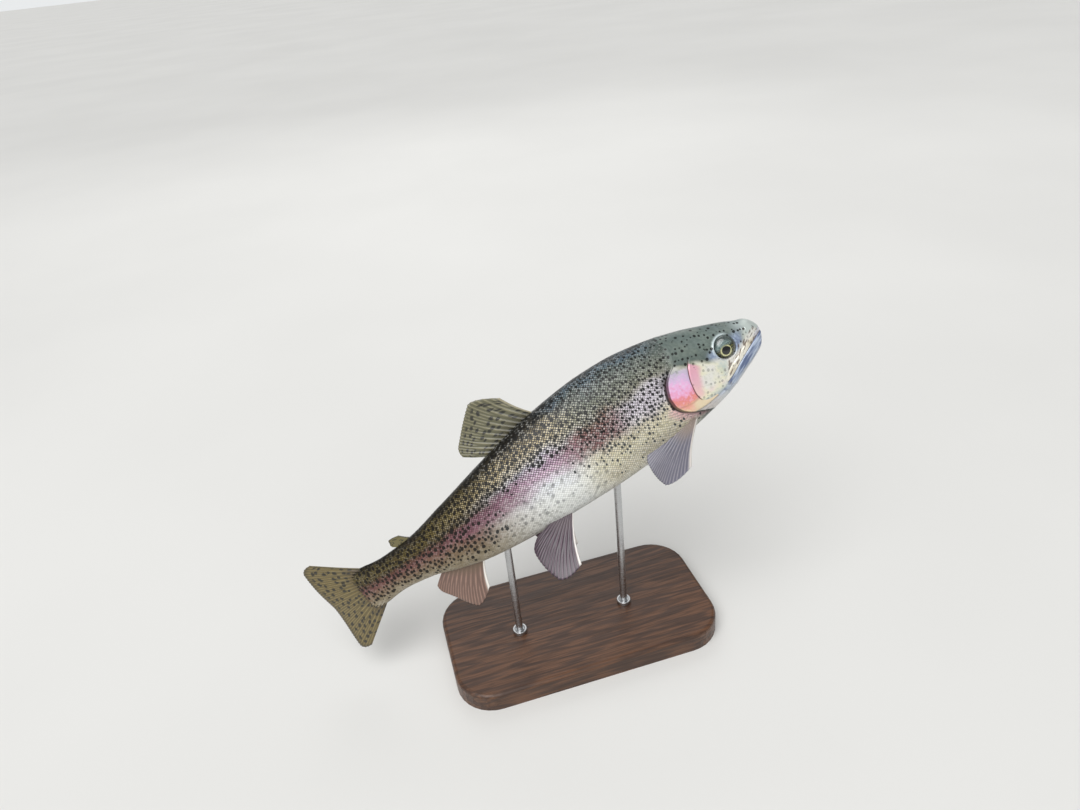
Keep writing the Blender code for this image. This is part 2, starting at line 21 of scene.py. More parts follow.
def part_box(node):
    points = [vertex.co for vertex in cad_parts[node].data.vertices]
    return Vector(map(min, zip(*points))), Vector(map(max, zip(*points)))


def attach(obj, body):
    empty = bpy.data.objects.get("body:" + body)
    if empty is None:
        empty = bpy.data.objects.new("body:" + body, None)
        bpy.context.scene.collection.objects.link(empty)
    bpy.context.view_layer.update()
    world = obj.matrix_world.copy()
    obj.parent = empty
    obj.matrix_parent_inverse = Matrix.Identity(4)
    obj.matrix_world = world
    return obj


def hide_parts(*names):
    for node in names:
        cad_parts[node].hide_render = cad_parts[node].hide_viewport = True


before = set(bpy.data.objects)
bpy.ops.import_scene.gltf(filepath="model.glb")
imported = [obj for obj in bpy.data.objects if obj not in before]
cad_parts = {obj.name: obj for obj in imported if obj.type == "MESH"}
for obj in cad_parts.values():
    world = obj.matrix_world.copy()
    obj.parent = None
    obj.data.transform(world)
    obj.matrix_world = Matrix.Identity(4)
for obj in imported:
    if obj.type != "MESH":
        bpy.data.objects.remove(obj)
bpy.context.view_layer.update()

Array = np.ndarray
Pair = tuple[float, float]
Three = tuple[float, float, float]
Colour = tuple[int, int, int]

log = logging.getLogger("trout")

# --- Driving sizes, the same as the solids', in metres ---
LENGTH = 0.345  # snout to the end of the spine
PITCH = math.radians(27.0)  # nose up
BANK = math.radians(25.0)  # right flank turned up
MID_HEIGHT = 0.168
MID_STATION = 0.5
BASE_CENTRE_X = 0.004
MM = 0.001

SPINE_TURNS = ((0.22, 0.62, 9.0), (0.62, 1.0, 13.0), (1.0, 1.2, 8.0))
SNOUT_TIP = (-0.0115, -0.0245)
SNOUT_ROUND = 0.024
FLESH_END = 1.046

# --- The eye: station, height and metres ---
EYE_STATION = 0.083
EYE_HEIGHT = -0.0071
EYE_RADIUS = 0.0084
EYE_BULGE = 0.0055
EYE_PROUD = 0.0015

COAT_DEPTH = 0.35 * MM  # how far the skin lies inside the body's surface under the scales
HEAD_DEPTH = 0.14 * MM  # the same on the head, which has no scales


def smooth_step(value: Array, low: float, high: float) -> Array:
    """Rises smoothly from 0 at low to 1 at high, or falls where high is the smaller."""
    share = np.clip((value - low) / (high - low), 0.0, 1.0)
    return share * share * (3 - 2 * share)


def signed_power(value: Array, exponent: Array | float) -> Array:
    """Power that keeps the sign, which turns a circle into a squarer oval."""
    return np.sign(value) * np.abs(value) ** exponent


def round_rise(share: Array) -> Array:
    """Rises from 0 to 1 along a quarter of a circle."""
    return np.sqrt(1 - (1 - np.clip(share, 0.0, 1.0)) ** 2)


def unit(vectors: Array) -> Array:
    """Vectors scaled to a length of 1."""
    return vectors / np.maximum(np.linalg.norm(vectors, axis=-1, keepdims=True), 1e-12)


def straight_at(station: Array, height: Array, across: Array | float = 0.0) -> Array:
    """Straight points from stations, heights and metres to the left."""
    station, height, across = np.broadcast_arrays(station, height, across)
    return np.stack([(MID_STATION - station) * LENGTH, across, height * LENGTH], axis=-1)


def rgb(*colour: int) -> tuple[float, ...]:
    """Linear colour from the usual 0 to 255 values."""
    linear = [c / 255 / 12.92 if c <= 10 else ((c / 255 + 0.055) / 1.055) ** 2.4 for c in colour]
    return (*linear, 1.0)


class Outline:
    """A value along the body or down the head: a smooth curve through a few named places."""

    def __init__(self, *points: Pair) -> None:
        """Fits the curve.

        Args:
            points: place and value pairs, in rising order of place.
        """
        self.places, self.values = np.array(points, dtype=float).T
        self.steps = np.diff(self.places)
        slopes = np.diff(self.values) / self.steps
        before, after = slopes[:-1], slopes[1:]
        heavy = 2 * self.steps[1:] + self.steps[:-1]
        light = self.steps[1:] + 2 * self.steps[:-1]
        same = before * after > 0
        inner = np.zeros(len(before))
        inner[same] = (heavy + light)[same] / (heavy[same] / before[same] + light[same] / after[same])
        self.tangents = np.concatenate([slopes[:1], inner, slopes[-1:]])

    def __call__(self, at: Array) -> Array:
        """Values of the curve.

        Args:
            at: places, of any shape; outside the named ones the end values hold.

        Returns:
            The values, in the same shape.
        """
        at = np.clip(at, self.places[0], self.places[-1])
        i = np.clip(np.searchsorted(self.places, at) - 1, 0, len(self.places) - 2)
        step = self.steps[i]
        t = (at - self.places[i]) / step
        return (
            (1 + 2 * t) * (1 - t) ** 2 * self.values[i]
            + t * (1 - t) ** 2 * step * self.tangents[i]
            + t * t * (3 - 2 * t) * self.values[i + 1]
            + t * t * (t - 1) * step * self.tangents[i + 1]
        )


BACK = Outline(
    (-0.0115, 0.004), (0.005, 0.0108), (0.02, 0.0165), (0.05, 0.033), (0.094, 0.054), (0.133, 0.0715),
    (0.217, 0.1), (0.306, 0.1175), (0.38, 0.122), (0.5, 0.1155), (0.608, 0.098), (0.754, 0.068),
    (0.867, 0.047), (0.94, 0.044), (1.0, 0.05), (1.03, 0.052), (1.046, 0.0505),
)
BELLY = Outline(
    (-0.0115, -0.046), (0.01, -0.0605), (0.028, -0.069), (0.069, -0.0835), (0.104, -0.095), (0.167, -0.106),
    (0.22, -0.1125), (0.306, -0.1185), (0.38, -0.118), (0.5, -0.112), (0.62, -0.103), (0.735, -0.089),
    (0.8, -0.073), (0.867, -0.053), (0.94, -0.045), (1.0, -0.05), (1.03, -0.052), (1.046, -0.0505),
)
HALF_WIDTH = Outline(
    (-0.0115, 0.0205), (0.016, 0.0285), (0.05, 0.037), (0.077, 0.043), (0.133, 0.0515), (0.217, 0.059),
    (0.31, 0.0625), (0.42, 0.062), (0.54, 0.0575), (0.675, 0.0455), (0.8, 0.031), (0.867, 0.024),
    (0.94, 0.0175), (1.0, 0.0105), (1.03, 0.0045), (1.046, 0.0006),
)
WIDEST_AT = Outline((-0.0115, -0.03), (0.08, -0.028), (0.2, -0.012), (0.35, 0.0), (1.046, 0.0))
SQUARENESS = Outline((-0.0115, 2.3), (0.15, 2.35), (0.35, 2.15), (1.046, 2.0))

# --- Lines on the head, as (station, height) ---
GILL_SLIT = Outline(  # station of the gill opening at each height
    (-0.125, 0.15), (-0.113, 0.158), (-0.103, 0.17), (-0.092, 0.188), (-0.08, 0.208), (-0.07, 0.223),
    (-0.055, 0.2365), (-0.04, 0.2425), (-0.025, 0.243), (-0.008, 0.238), (0.008, 0.229), (0.02, 0.215),
    (0.03, 0.198), (0.06, 0.186), (0.11, 0.178),
)
LATERAL_LINE = Outline((0.18, 0.026), (0.26, 0.017), (0.36, 0.006), (0.5, 0.0), (1.046, 0.0))
PREOPERCLE = (
    (0.1625, 0.0205), (0.168, 0.014), (0.1757, 0.0035), (0.1845, -0.0165), (0.1888, -0.038),
    (0.1892, -0.051), (0.1855, -0.064), (0.174, -0.0725), (0.154, -0.0762), (0.13, -0.077),
)
COVER_TOP = ((0.169, 0.008), (0.18, 0.0115), (0.193, 0.017), (0.208, 0.0225), (0.22, 0.0235))
COVER_FOOT = ((0.214, -0.0765), (0.199, -0.0805), (0.176, -0.0825), (0.15, -0.0815), (0.128, -0.078))
COVER_SEAM = ((0.188, -0.056), (0.2, -0.0585), (0.216, -0.056), (0.234, -0.05))
MOUTH = (
    (-0.0145, -0.0285), (0.009, -0.0312), (0.045, -0.043), (0.073, -0.0532), (0.096, -0.063),
    (0.1165, -0.07),
)
LIP_TOP = (
    (0.01, -0.0235), (0.035, -0.028), (0.0585, -0.0342), (0.074, -0.0395), (0.09, -0.0452),
    (0.105, -0.0525), (0.116, -0.061), (0.1185, -0.068), (0.115, -0.0735),
)
CHEEK_TOP = Outline(
    (0.0, 0.012), (0.022, 0.004), (0.04, -0.016), (0.06, -0.029), (0.09, -0.031), (0.11, -0.02),
    (0.13, -0.01), (0.145, 0.001), (0.165, 0.013), (0.2, 0.022),
)
LINE_REACH = 8.0  # millimetres from a line on the head that the skin still remembers
NOSTRILS = ((0.025, -0.0028, 0.95), (0.032, 0.0008, 0.7))  # station, height, radius in millimetres


class Body:
    """Shape and pose of the trout's body, for many places at once."""

    ARC_ANGLES = 181

    def __init__(self) -> None:
        """Works out the spine's curve, the lengths round the body and the pose."""
        self.stations = np.linspace(-0.1, 1.3, 561)
        step = self.stations[1] - self.stations[0]
        rate = np.zeros(len(self.stations))
        for start, end, turn in SPINE_TURNS:
            inside = (self.stations > start) & (self.stations < end)
            rate += math.radians(turn) / (end - start) * inside
        kernel = np.hanning(61)
        rate = np.convolve(rate, kernel / kernel.sum(), mode="same")
        self.heading = self._centred(-np.cumsum(rate) * step)
        self.spine_x = self._centred(-np.cumsum(np.cos(self.heading)) * step * LENGTH)
        self.spine_y = self._centred(-np.cumsum(np.sin(self.heading)) * step * LENGTH)

        low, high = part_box("stand_base")
        middle = (low + high) / 2
        offset = Vector((middle.x - BASE_CENTRE_X, middle.y, MID_HEIGHT))
        self.pose = Matrix.Translation(offset) @ Euler((-BANK, -PITCH, 0.0)).to_matrix().to_4x4()

        self.arc_stations = np.linspace(SNOUT_TIP[0], FLESH_END, 240)
        self.arc_angles = np.linspace(0.0, math.pi, self.ARC_ANGLES)
        grid = self.surface(*np.meshgrid(self.arc_stations, self.arc_angles, indexing="ij"))
        runs = np.linalg.norm(np.diff(grid, axis=1), axis=-1)
        self.arcs = np.concatenate([np.zeros((len(runs), 1)), np.cumsum(runs, axis=1)], axis=1)

    def surface(self, station: Array, angle: Array) -> Array:
        """Points on the straight body.

        Args:
            station: stations along the body.
            angle: angles from the back, 0, by the right side to the belly, pi; negative on the left.

        Returns:
            The points, with a last axis of three.
        """
        tip, middle = SNOUT_TIP
        snout = round_rise((station - tip) / SNOUT_ROUND)
        top, foot, widest = (middle + (line(station) - middle) * snout for line in (BACK, BELLY, WIDEST_AT))
        bend = 2 / SQUARENESS(station)
        up, side = np.cos(angle), np.sin(angle)
        reach = np.where(up > 0, top - widest, widest - foot)
        across = -signed_power(side, bend) * HALF_WIDTH(station) * snout
        return straight_at(station, widest + signed_power(up, bend) * reach, across * LENGTH)

    def frame_at(self, station: Array, angle: Array) -> tuple[Array, Array, Array]:
        """Directions on the straight body's surface.

        Args:
            station: stations along the body.
            angle: angles round it.

        Returns:
            Unit vectors towards the tail, across, and outwards.
        """
        ds, da = 0.0008, 0.004
        before, after = np.maximum(station - ds, SNOUT_TIP[0]), station + ds
        rear = unit(self.surface(after, angle) - self.surface(before, angle))
        round_way = unit(self.surface(station, angle + da) - self.surface(station, angle - da))
        out = unit(np.cross(rear, round_way))
        return rear, unit(np.cross(out, rear)), out

    def arc(self, station: Array, angle: Array) -> Array:
        """Length round the body from the middle of the back, in metres, negative on the right.

        Args:
            station: stations, in a flat array.
            angle: angles round the body.

        Returns:
            The lengths.
        """
        rows = self._rows(station)
        place = np.abs(angle) / self.arc_angles[1]
        column = np.clip(place.astype(int), 0, self.ARC_ANGLES - 2)
        pick, share = np.arange(len(column)), place - column
        return -np.sign(angle) * (rows[pick, column] * (1 - share) + rows[pick, column + 1] * share)

    def girth(self, station: Array) -> Array:
        """Half the length round the body, in metres."""
        return np.interp(station, self.arc_stations, self.arcs[:, -1])

    def angle_at(self, station: Array, arc: Array) -> Array:
        """Angle at which the length round from the back is reached, for flat arrays.

        Args:
            station: stations along the body.
            arc: lengths round it from the back, in metres.

        Returns:
            The angles.
        """
        rows = self._rows(station)
        count = np.clip((rows < arc[:, None]).sum(axis=1), 1, self.ARC_ANGLES - 1)
        pick = np.arange(len(arc))
        low, high = rows[pick, count - 1], rows[pick, count]
        share = (arc - low) / np.maximum(high - low, 1e-9)
        return (count - 1 + np.clip(share, 0.0, 1.0)) * self.arc_angles[1]

    def side_angle(self, station: Array, height: Array) -> Array:
        """Angle of the place on the right side with this height, for flat arrays.

        Args:
            station: stations along the body.
            height: heights there.

        Returns:
            The angles.
        """
        low = np.zeros(len(station))
        high = np.full(len(station), math.pi)
        for _ in range(40):
            middle = (low + high) / 2
            above = self.surface(station, middle)[:, 2] > height * LENGTH
            low = np.where(above, middle, low)
            high = np.where(above, high, middle)
        return (low + high) / 2

    def carry(self, points: Array) -> Array:
        """Bends straight points along the spine and carries them to their place over the stand.

        Args:
            points: points on the straight trout, in metres.

        Returns:
            The points over the stand.
        """
        x, y, z = points.reshape(-1, 3).T
        turn, spine_x, spine_y = (
            np.interp(MID_STATION - x / LENGTH, self.stations, run)
            for run in (self.heading, self.spine_x, self.spine_y)
        )
        bent = np.stack([spine_x - np.sin(turn) * y, spine_y + np.cos(turn) * y, z], axis=-1)
        pose = np.array(self.pose)
        return (bent @ pose[:3, :3].T + pose[:3, 3]).reshape(points.shape)

    def _centred(self, run: Array) -> Array:
        """Values along the spine, less the one at its middle station."""
        return run - np.interp(MID_STATION, self.stations, run)

    def _rows(self, station: Array) -> Array:
        """Table of lengths round the body at each station."""
        place = np.interp(station, self.arc_stations, np.arange(len(self.arc_stations)))
        row = np.clip(place.astype(int), 0, len(self.arc_stations) - 2)
        share = (place - row)[:, None]
        return self.arcs[row] * (1 - share) + self.arcs[row + 1] * share


def bell(distance: Array, width: float) -> Array:
    """1 at the line, falling away smoothly over about the width."""
    return np.exp(-((distance / width) ** 2))


@dataclass
class Nearness:
    """How some places lie to a line on the head."""

    distance: Array  # millimetres
    side: Array  # +1 to the left of the line's run, -1 to its right
    share: Array  # 0 at the line's start to 1 at its end

    @property
    def signed(self) -> Array:
        """Distance with the sign of the side."""
        return self.side * self.distance

    def kept(self) -> Array:
        """Signed distance as the skin's vertices hold it: 2 on the line, from 1 to 3."""
        return 2 + np.clip(self.signed / LINE_REACH, -1.0, 1.0)

    def within(self, ends: float = 0.04) -> Array:
        """1 beside the line, 0 beyond its ends."""
        return smooth_step(self.share, -ends, ends) * smooth_step(self.share, 1 + ends, 1 - ends)

    def groove(self, width: float, ends: float = 0.04) -> Array:
        """1 on the line, falling away over about the width."""
        return bell(self.distance, width) * self.within(ends)


def rounded(points: Sequence[Pair], per: int = 8) -> Array:
    """A smooth line through a few points.

    Args:
        points: the (station, height) points.
        per: how many steps between two of them.

    Returns:
        The points of the smooth line.
    """
    p = np.array(points, dtype=float)
    padded = np.concatenate([[2 * p[0] - p[1]], p, [2 * p[-1] - p[-2]]])
    found = []
    for i in range(1, len(padded) - 2):
        a, b, c, d = padded[i - 1 : i + 3]
        for t in np.arange(per) / per:
            found.append(0.5 * (2 * b + (c - a) * t + (2 * a - 5 * b + 4 * c - d) * t * t
                                + (3 * b - a - 3 * c + d) * t**3))
    return np.array([*found, p[-1]])


def near_line(points: Sequence[Pair], station: Array, height: Array) -> Nearness:
    """Distance of places from a smooth line through a few points.

    Args:
        points: the line's (station, height) points.
        station: the places' stations.
        height: the places' heights.

    Returns:
        The distances, sides and shares along the line.
    """
    line = rounded(points) * LENGTH / MM
    x, z = station * LENGTH / MM, height * LENGTH / MM
    best = np.full(x.shape, 1e9)
    side, share = np.zeros(x.shape), np.zeros(x.shape)
    count = len(line) - 1
    for i in range(count):
        run = line[i + 1] - line[i]
        dx, dz = x - line[i, 0], z - line[i, 1]
        t = (dx * run[0] + dz * run[1]) / (run @ run)
        inside = np.clip(t, 0.0, 1.0)
        distance = np.hypot(dx - inside * run[0], dz - inside * run[1])
        nearer = distance < best
        best = np.where(nearer, distance, best)
        side = np.where(nearer, np.sign(run[0] * dz - run[1] * dx), side)
        share = np.where(nearer, (i + t) / count, share)
    return Nearness(best, side, share)


class Head:
    """Relief and painted regions of the head, from named lines on it; distances are in millimetres."""

    def __init__(self, station: Array, height: Array, across: Array, slit: Array) -> None:
        """Measures every place of the skin against the head's lines.

        Args:
            station: stations of the places.
            height: their heights.
            across: their distance from the middle plane, in metres.
            slit: their distance behind the gill opening, in metres.
        """
        self.station, self.height = station, height
        self.beside, self.slit, self.ahead = np.clip(np.abs(across) / (4 * MM), 0.0, 1.0), slit / MM, slit < 0
        self.preopercle, self.cover_top, self.cover_foot, self.cover_seam, self.mouth, self.lip_top = (
            near_line(line, station, height)
            for line in (PREOPERCLE, COVER_TOP, COVER_FOOT, COVER_SEAM, MOUTH, LIP_TOP)
        )
        self.eye = self.away(EYE_STATION, EYE_HEIGHT)
        self.rim = self.eye - EYE_RADIUS / MM

    def away(self, station: float, height: float) -> Array:
        """Distance from a place on the head."""
        return np.hypot(self.station - station, self.height - height) * LENGTH / MM

    def cover(self) -> Array:
        """1 on the gill cover, behind the preopercle line."""
        behind = smooth_step(self.preopercle.signed, -0.3, 0.3) * (self.station > 0.15)
        under_top = smooth_step(self.cover_top.signed, 2.0, -2.0)
        over_foot = smooth_step(self.cover_foot.signed, 1.0, -1.0)
        return behind * under_top * over_foot * smooth_step(self.slit, 0.2, 0.0)

    def lip(self) -> Array:
        """1 on the upper jaw bone."""
        over_mouth = smooth_step(self.mouth.signed, -0.2, 0.4)
        under_top = smooth_step(self.lip_top.signed, 0.4, -0.4)
        return over_mouth * under_top * smooth_step(self.station, 0.124, 0.116)

    def jaw(self) -> Array:
        """1 on the lower jaw and throat."""
        under_mouth = smooth_step(self.mouth.signed, 0.2, -0.6)
        under_foot = smooth_step(self.cover_foot.signed, -1.6, 1.6)
        forward = smooth_step(self.station, 0.135, 0.11)
        return np.maximum(under_mouth * forward, under_foot * (1 - forward)) * self.ahead

    def face(self) -> Array:
        """Rises from 0 above the pale lower face, by 0.5 at its edge, to 1 well inside it."""
        return np.clip(0.5 - (self.height - CHEEK_TOP(self.station)) / 0.04, 0.0, 1.0) * self.ahead

    def near(self) -> tuple[Array, Array, Array]:
        """Place beside the top of the upper jaw bone, nearness to the eye, and the painted highlight on the
        eye's lid.
        """
        above = 0.5 * (self.station - EYE_STATION) + 0.87 * (self.height - EYE_HEIGHT)
        # Painted highlight on the lid, lit on its upper side towards the tail.
        lit = smooth_step(above * LENGTH / MM / np.maximum(self.eye, 1e-3), 0.0, 0.85)
        return self.lip_top.kept(), np.clip(1 - self.eye / 20, 0.0, 1.0), bell(self.rim - 0.5, 1.0) * lit

    def relief(self) -> Array:
        """How far the skin stands out of the body's surface on the head, in metres.

        Returns:
            The height for each place.
        """
        cheek_edge, foot, lip, mouth = self.preopercle, self.cover_foot, self.lip_top, self.mouth
        arm = smooth_step(cheek_edge.share, 0.86, 0.6)
        made = -0.42 * cheek_edge.groove(0.62, 0.12) * (0.35 + 0.65 * arm)
        made += 0.1 * cheek_edge.groove(2.6, 0.12) * (cheek_edge.side < 0) * arm
        made -= 0.24 * self.cover_seam.groove(0.7) + 0.18 * self.cover_top.groove(1.1)

        throat = foot.side > 0
        made -= 0.4 * foot.groove(0.8) + 0.55 * bell(foot.distance - 2, 4.0) * throat * foot.within()
        folds = (0.5 + 0.5 * np.cos(math.tau * foot.distance / 2.1)) ** 2
        folds *= smooth_step(foot.distance, 0.8, 2.0) * smooth_step(foot.distance, 12.0, 8.0)
        made += 0.34 * folds * throat * foot.within(0.15)

        lip_relief = 0.42 * self.lip() - 0.34 * lip.groove(0.75, 0.08)
        made += lip_relief * self.beside * smooth_step(self.station, 0.004, 0.045)
        in_mouth = smooth_step(mouth.share, 1.05, 0.99)
        made -= 0.62 * bell(mouth.distance, 0.55) * in_mouth
        wrinkles = (0.5 + 0.5 * np.cos(math.tau * mouth.distance / 2.6)) * self.beside
        wrinkles *= smooth_step(mouth.distance, 2.0, 3.4) * smooth_step(mouth.distance, 9.0, 6.0)
        under_lip = 0.3 * bell(mouth.distance - 1.5, 0.9) - 0.3 * bell(mouth.distance, 5.0)
        made += (under_lip + 0.16 * wrinkles) * (mouth.side < 0) * in_mouth

        made -= 3.2 * smooth_step(self.rim, 0.15, -0.55)  # the eye's socket, its lid and the fold round it
        made += 0.38 * bell(self.rim - 0.7, 0.7) - 0.22 * bell(self.rim - 2.4, 0.9)
        for station, height, radius in NOSTRILS:
            away = self.away(station, height)
            made += (0.12 * bell(away - radius * 1.6, 0.4) - 1.3 * bell(away, radius * 0.85)) * self.beside
        made -= 0.35 * bell(self.away(0.128, -0.028), 8.0)  # hollow of the cheek
        return made * self.ahead * MM

    def cut(self) -> Array:
        """Strength of the painted shade in the nostrils, the eye's socket and under the cover's seam."""
        dark = [0.25 * self.cover_seam.groove(0.6), 0.7 * smooth_step(self.rim, 0.2, -0.3)]
        for station, height, radius in NOSTRILS:
            dark.append(smooth_step(self.away(station, height), radius * 1.25, radius * 0.65))
        return np.maximum.reduce(dark) * self.ahead

    def blush(self) -> Array:
        """Strength of the rose colour ahead of the preopercle line."""
        reach = np.interp(self.height, (-0.07, -0.03, 0.0), (6.5, 9.0, 13.0))
        fade = smooth_step(self.preopercle.distance / reach, 1.25, 0.3) * (self.preopercle.side < 0)
        top = smooth_step(self.height - self.station + 0.155, 0.006, -0.004)
        return fade * top * smooth_step(self.height, -0.074, -0.05) * self.ahead


def behind_slit(station: Array, height: Array) -> Array:
    """Distance behind the gill opening, in metres."""
    return (station - GILL_SLIT(height)) * LENGTH


def slit_strength(height: Array) -> Array:
    """1 where the gill opening is deep, 0 where it ends at the nape and under the throat."""
    return smooth_step(height, 0.03, 0.012) * smooth_step(height, -0.106, -0.088)


def trunk_depth(slit: Array, strength: Array) -> Array:
    """How far the trunk's skin lies inside the body's surface, in metres."""
    soft = strength + (1 - strength) * smooth_step(slit, -1 * MM, 5 * MM)
    return COAT_DEPTH * soft + 1.75 * MM * strength * np.exp(-np.maximum(slit - 2 * MM, 0) / (5.5 * MM))


def breast_blush(slit: Array, height: Array) -> Array:
    """Strength of the rose and orange colour just behind the gill opening."""
    low = smooth_step(height, -0.03, -0.055) * smooth_step(height, -0.108, -0.09)
    return bell(np.maximum(slit, 0), 9 * MM) * low


def zone_at(station: Array, height: Array) -> Array:
    """How far up the body a place lies, from the belly, -1, to the back, 1."""
    return np.where(height > 0, height / BACK(station), -height / BELLY(station))


def store(mesh: bpy.types.Mesh, name: str, *values: Array) -> None:
    """Stores an attribute with one value, or three, for each vertex.

    Args:
        mesh: the mesh.
        name: the attribute's name.
        values: the values of all vertices, once or three times.
    """
    kind, content = ("FLOAT", "value") if len(values) == 1 else ("FLOAT_VECTOR", "vector")
    made = mesh.attributes.new(name, kind, "POINT")
    made.data.foreach_set(content, np.stack(values, axis=-1).astype(np.float32).ravel())


def finish_piece(piece: bpy.types.Object, slot: str, material: bpy.types.Material, *nodes: str) -> None:
    """Dresses a piece and makes it ride on the model.

    Args:
        piece: the piece, in its place.
        slot: the record's slot for its finish; not used.
        material: its finish.
        nodes: the CAD nodes that it stands for.
    """
    piece.data.materials.clear()
    piece.data.materials.append(material)
    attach(piece, "root")
    if nodes:
        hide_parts(*nodes)
    log.info("%s: %d faces", piece.name, len(piece.data.polygons))


def hang(name: str, data: bpy.types.ID) -> bpy.types.Object:
    """Puts a mesh, a light or a camera into the scene.

    Args:
        name: its name.
        data: what it shows.

    Returns:
        The new object.
    """
    hung = bpy.data.objects.new(name, data)
    bpy.context.scene.collection.objects.link(hung)
    return hung


def new_primitive(name: str, add: Callable[..., object], **sizes: object) -> bpy.types.Object:
    """Adds one of Blender's primitives, alone selected.

    Args:
        name: the piece's name.
        add: the operator that adds it.
        sizes: the operator's values.

    Returns:
        The new object.
    """
    bpy.ops.object.select_all(action="DESELECT")
    add(**sizes)
    piece = bpy.context.object
    piece.name = name
    piece.data.name = name
    return piece


def close_up(piece: bpy.types.Object, distance: float = 1e-6) -> None:
    """Merges the doubles of a wrapped sheet, turns its faces outwards and shades it smooth.

    Args:
        piece: the sheet.
        distance: how close doubles lie, in metres.
    """
    bpy.context.view_layer.objects.active = piece
    bpy.ops.object.mode_set(mode="EDIT")
    bpy.ops.mesh.select_all(action="SELECT")
    bpy.ops.mesh.remove_doubles(threshold=distance)
    bpy.ops.mesh.dissolve_degenerate(threshold=distance / 10)
    bpy.ops.mesh.normals_make_consistent(inside=False)
    bpy.ops.object.mode_set(mode="OBJECT")
    bpy.ops.object.shade_smooth()


def old_points(piece: bpy.types.Object) -> Array:
    """Points of a piece's vertices."""
    flat = np.empty(len(piece.data.vertices) * 3)
    piece.data.vertices.foreach_get("co", flat)
    return flat.reshape(-1, 3)


def grid_places(piece: bpy.types.Object, columns: int, rows: int) -> tuple[Array, Array]:
    """Column and row of each vertex of a new flat grid."""
    x, y, _ = old_points(piece).T
    return np.rint((x + 1) / 2 * columns).astype(int), np.rint((y + 1) / 2 * rows).astype(int)


def new_grid(name: str, columns: int, rows: int) -> bpy.types.Object:
    """Flat grid of quads, ready to be wrapped round a form.

    Args:
        name: the piece's name.
        columns: quads along X.
        rows: quads along Y.

    Returns:
        The grid.
    """
    return new_primitive(
        name, bpy.ops.mesh.primitive_grid_add, x_subdivisions=columns, y_subdivisions=rows, size=2.0
    )


def move_points(piece: bpy.types.Object, points: Array) -> None:
    """Puts the vertices of a piece at their points."""
    piece.data.vertices.foreach_set("co", points.astype(np.float32).ravel())
    piece.data.update()


def new_triangles(name: str, points: Array, faces: Array) -> bpy.types.Object:
    """A piece of triangles, shaded smooth where they meet at less than 50 degrees.

    Args:
        name: the piece's name.
        points: its points.
        faces: the numbers of each triangle's points.

    Returns:
        The piece.
    """
    mesh = bpy.data.meshes.new(name)
    piece = hang(name, mesh)
    mesh.vertices.add(len(points))
    move_points(piece, points)
    mesh.loops.add(faces.size)
    mesh.loops.foreach_set("vertex_index", faces.ravel().astype(np.int32))
    mesh.polygons.add(len(faces))
    mesh.polygons.foreach_set("loop_start", np.arange(0, faces.size, 3, dtype=np.int32))
    mesh.update(calc_edges=True)
    mesh.shade_smooth()
    mesh.set_sharp_from_angle(angle=math.radians(50))
    return piece


def unwrap_place(body: Body, station: Array, arc: Array) -> Array:
    """Place on the skin's own unwrap: along the body, with the head enlarged, and round it.

    Args:
        body: the body.
        station: the places' stations.
        arc: their lengths round from the back.

    Returns:
        The places, with a last axis of two.
    """
    margin = 0.006  # left free at the edges of the unwrap
    along = np.clip((station - SNOUT_TIP[0]) / (FLESH_END - SNOUT_TIP[0]), 0, 1) ** 0.62
    around = 0.5 + 0.5 * arc / np.maximum(body.girth(station), 1e-6)
    return margin + (1 - 2 * margin) * np.stack([along, np.clip(around, 0, 1)], axis=-1)


# --- Finishes ---


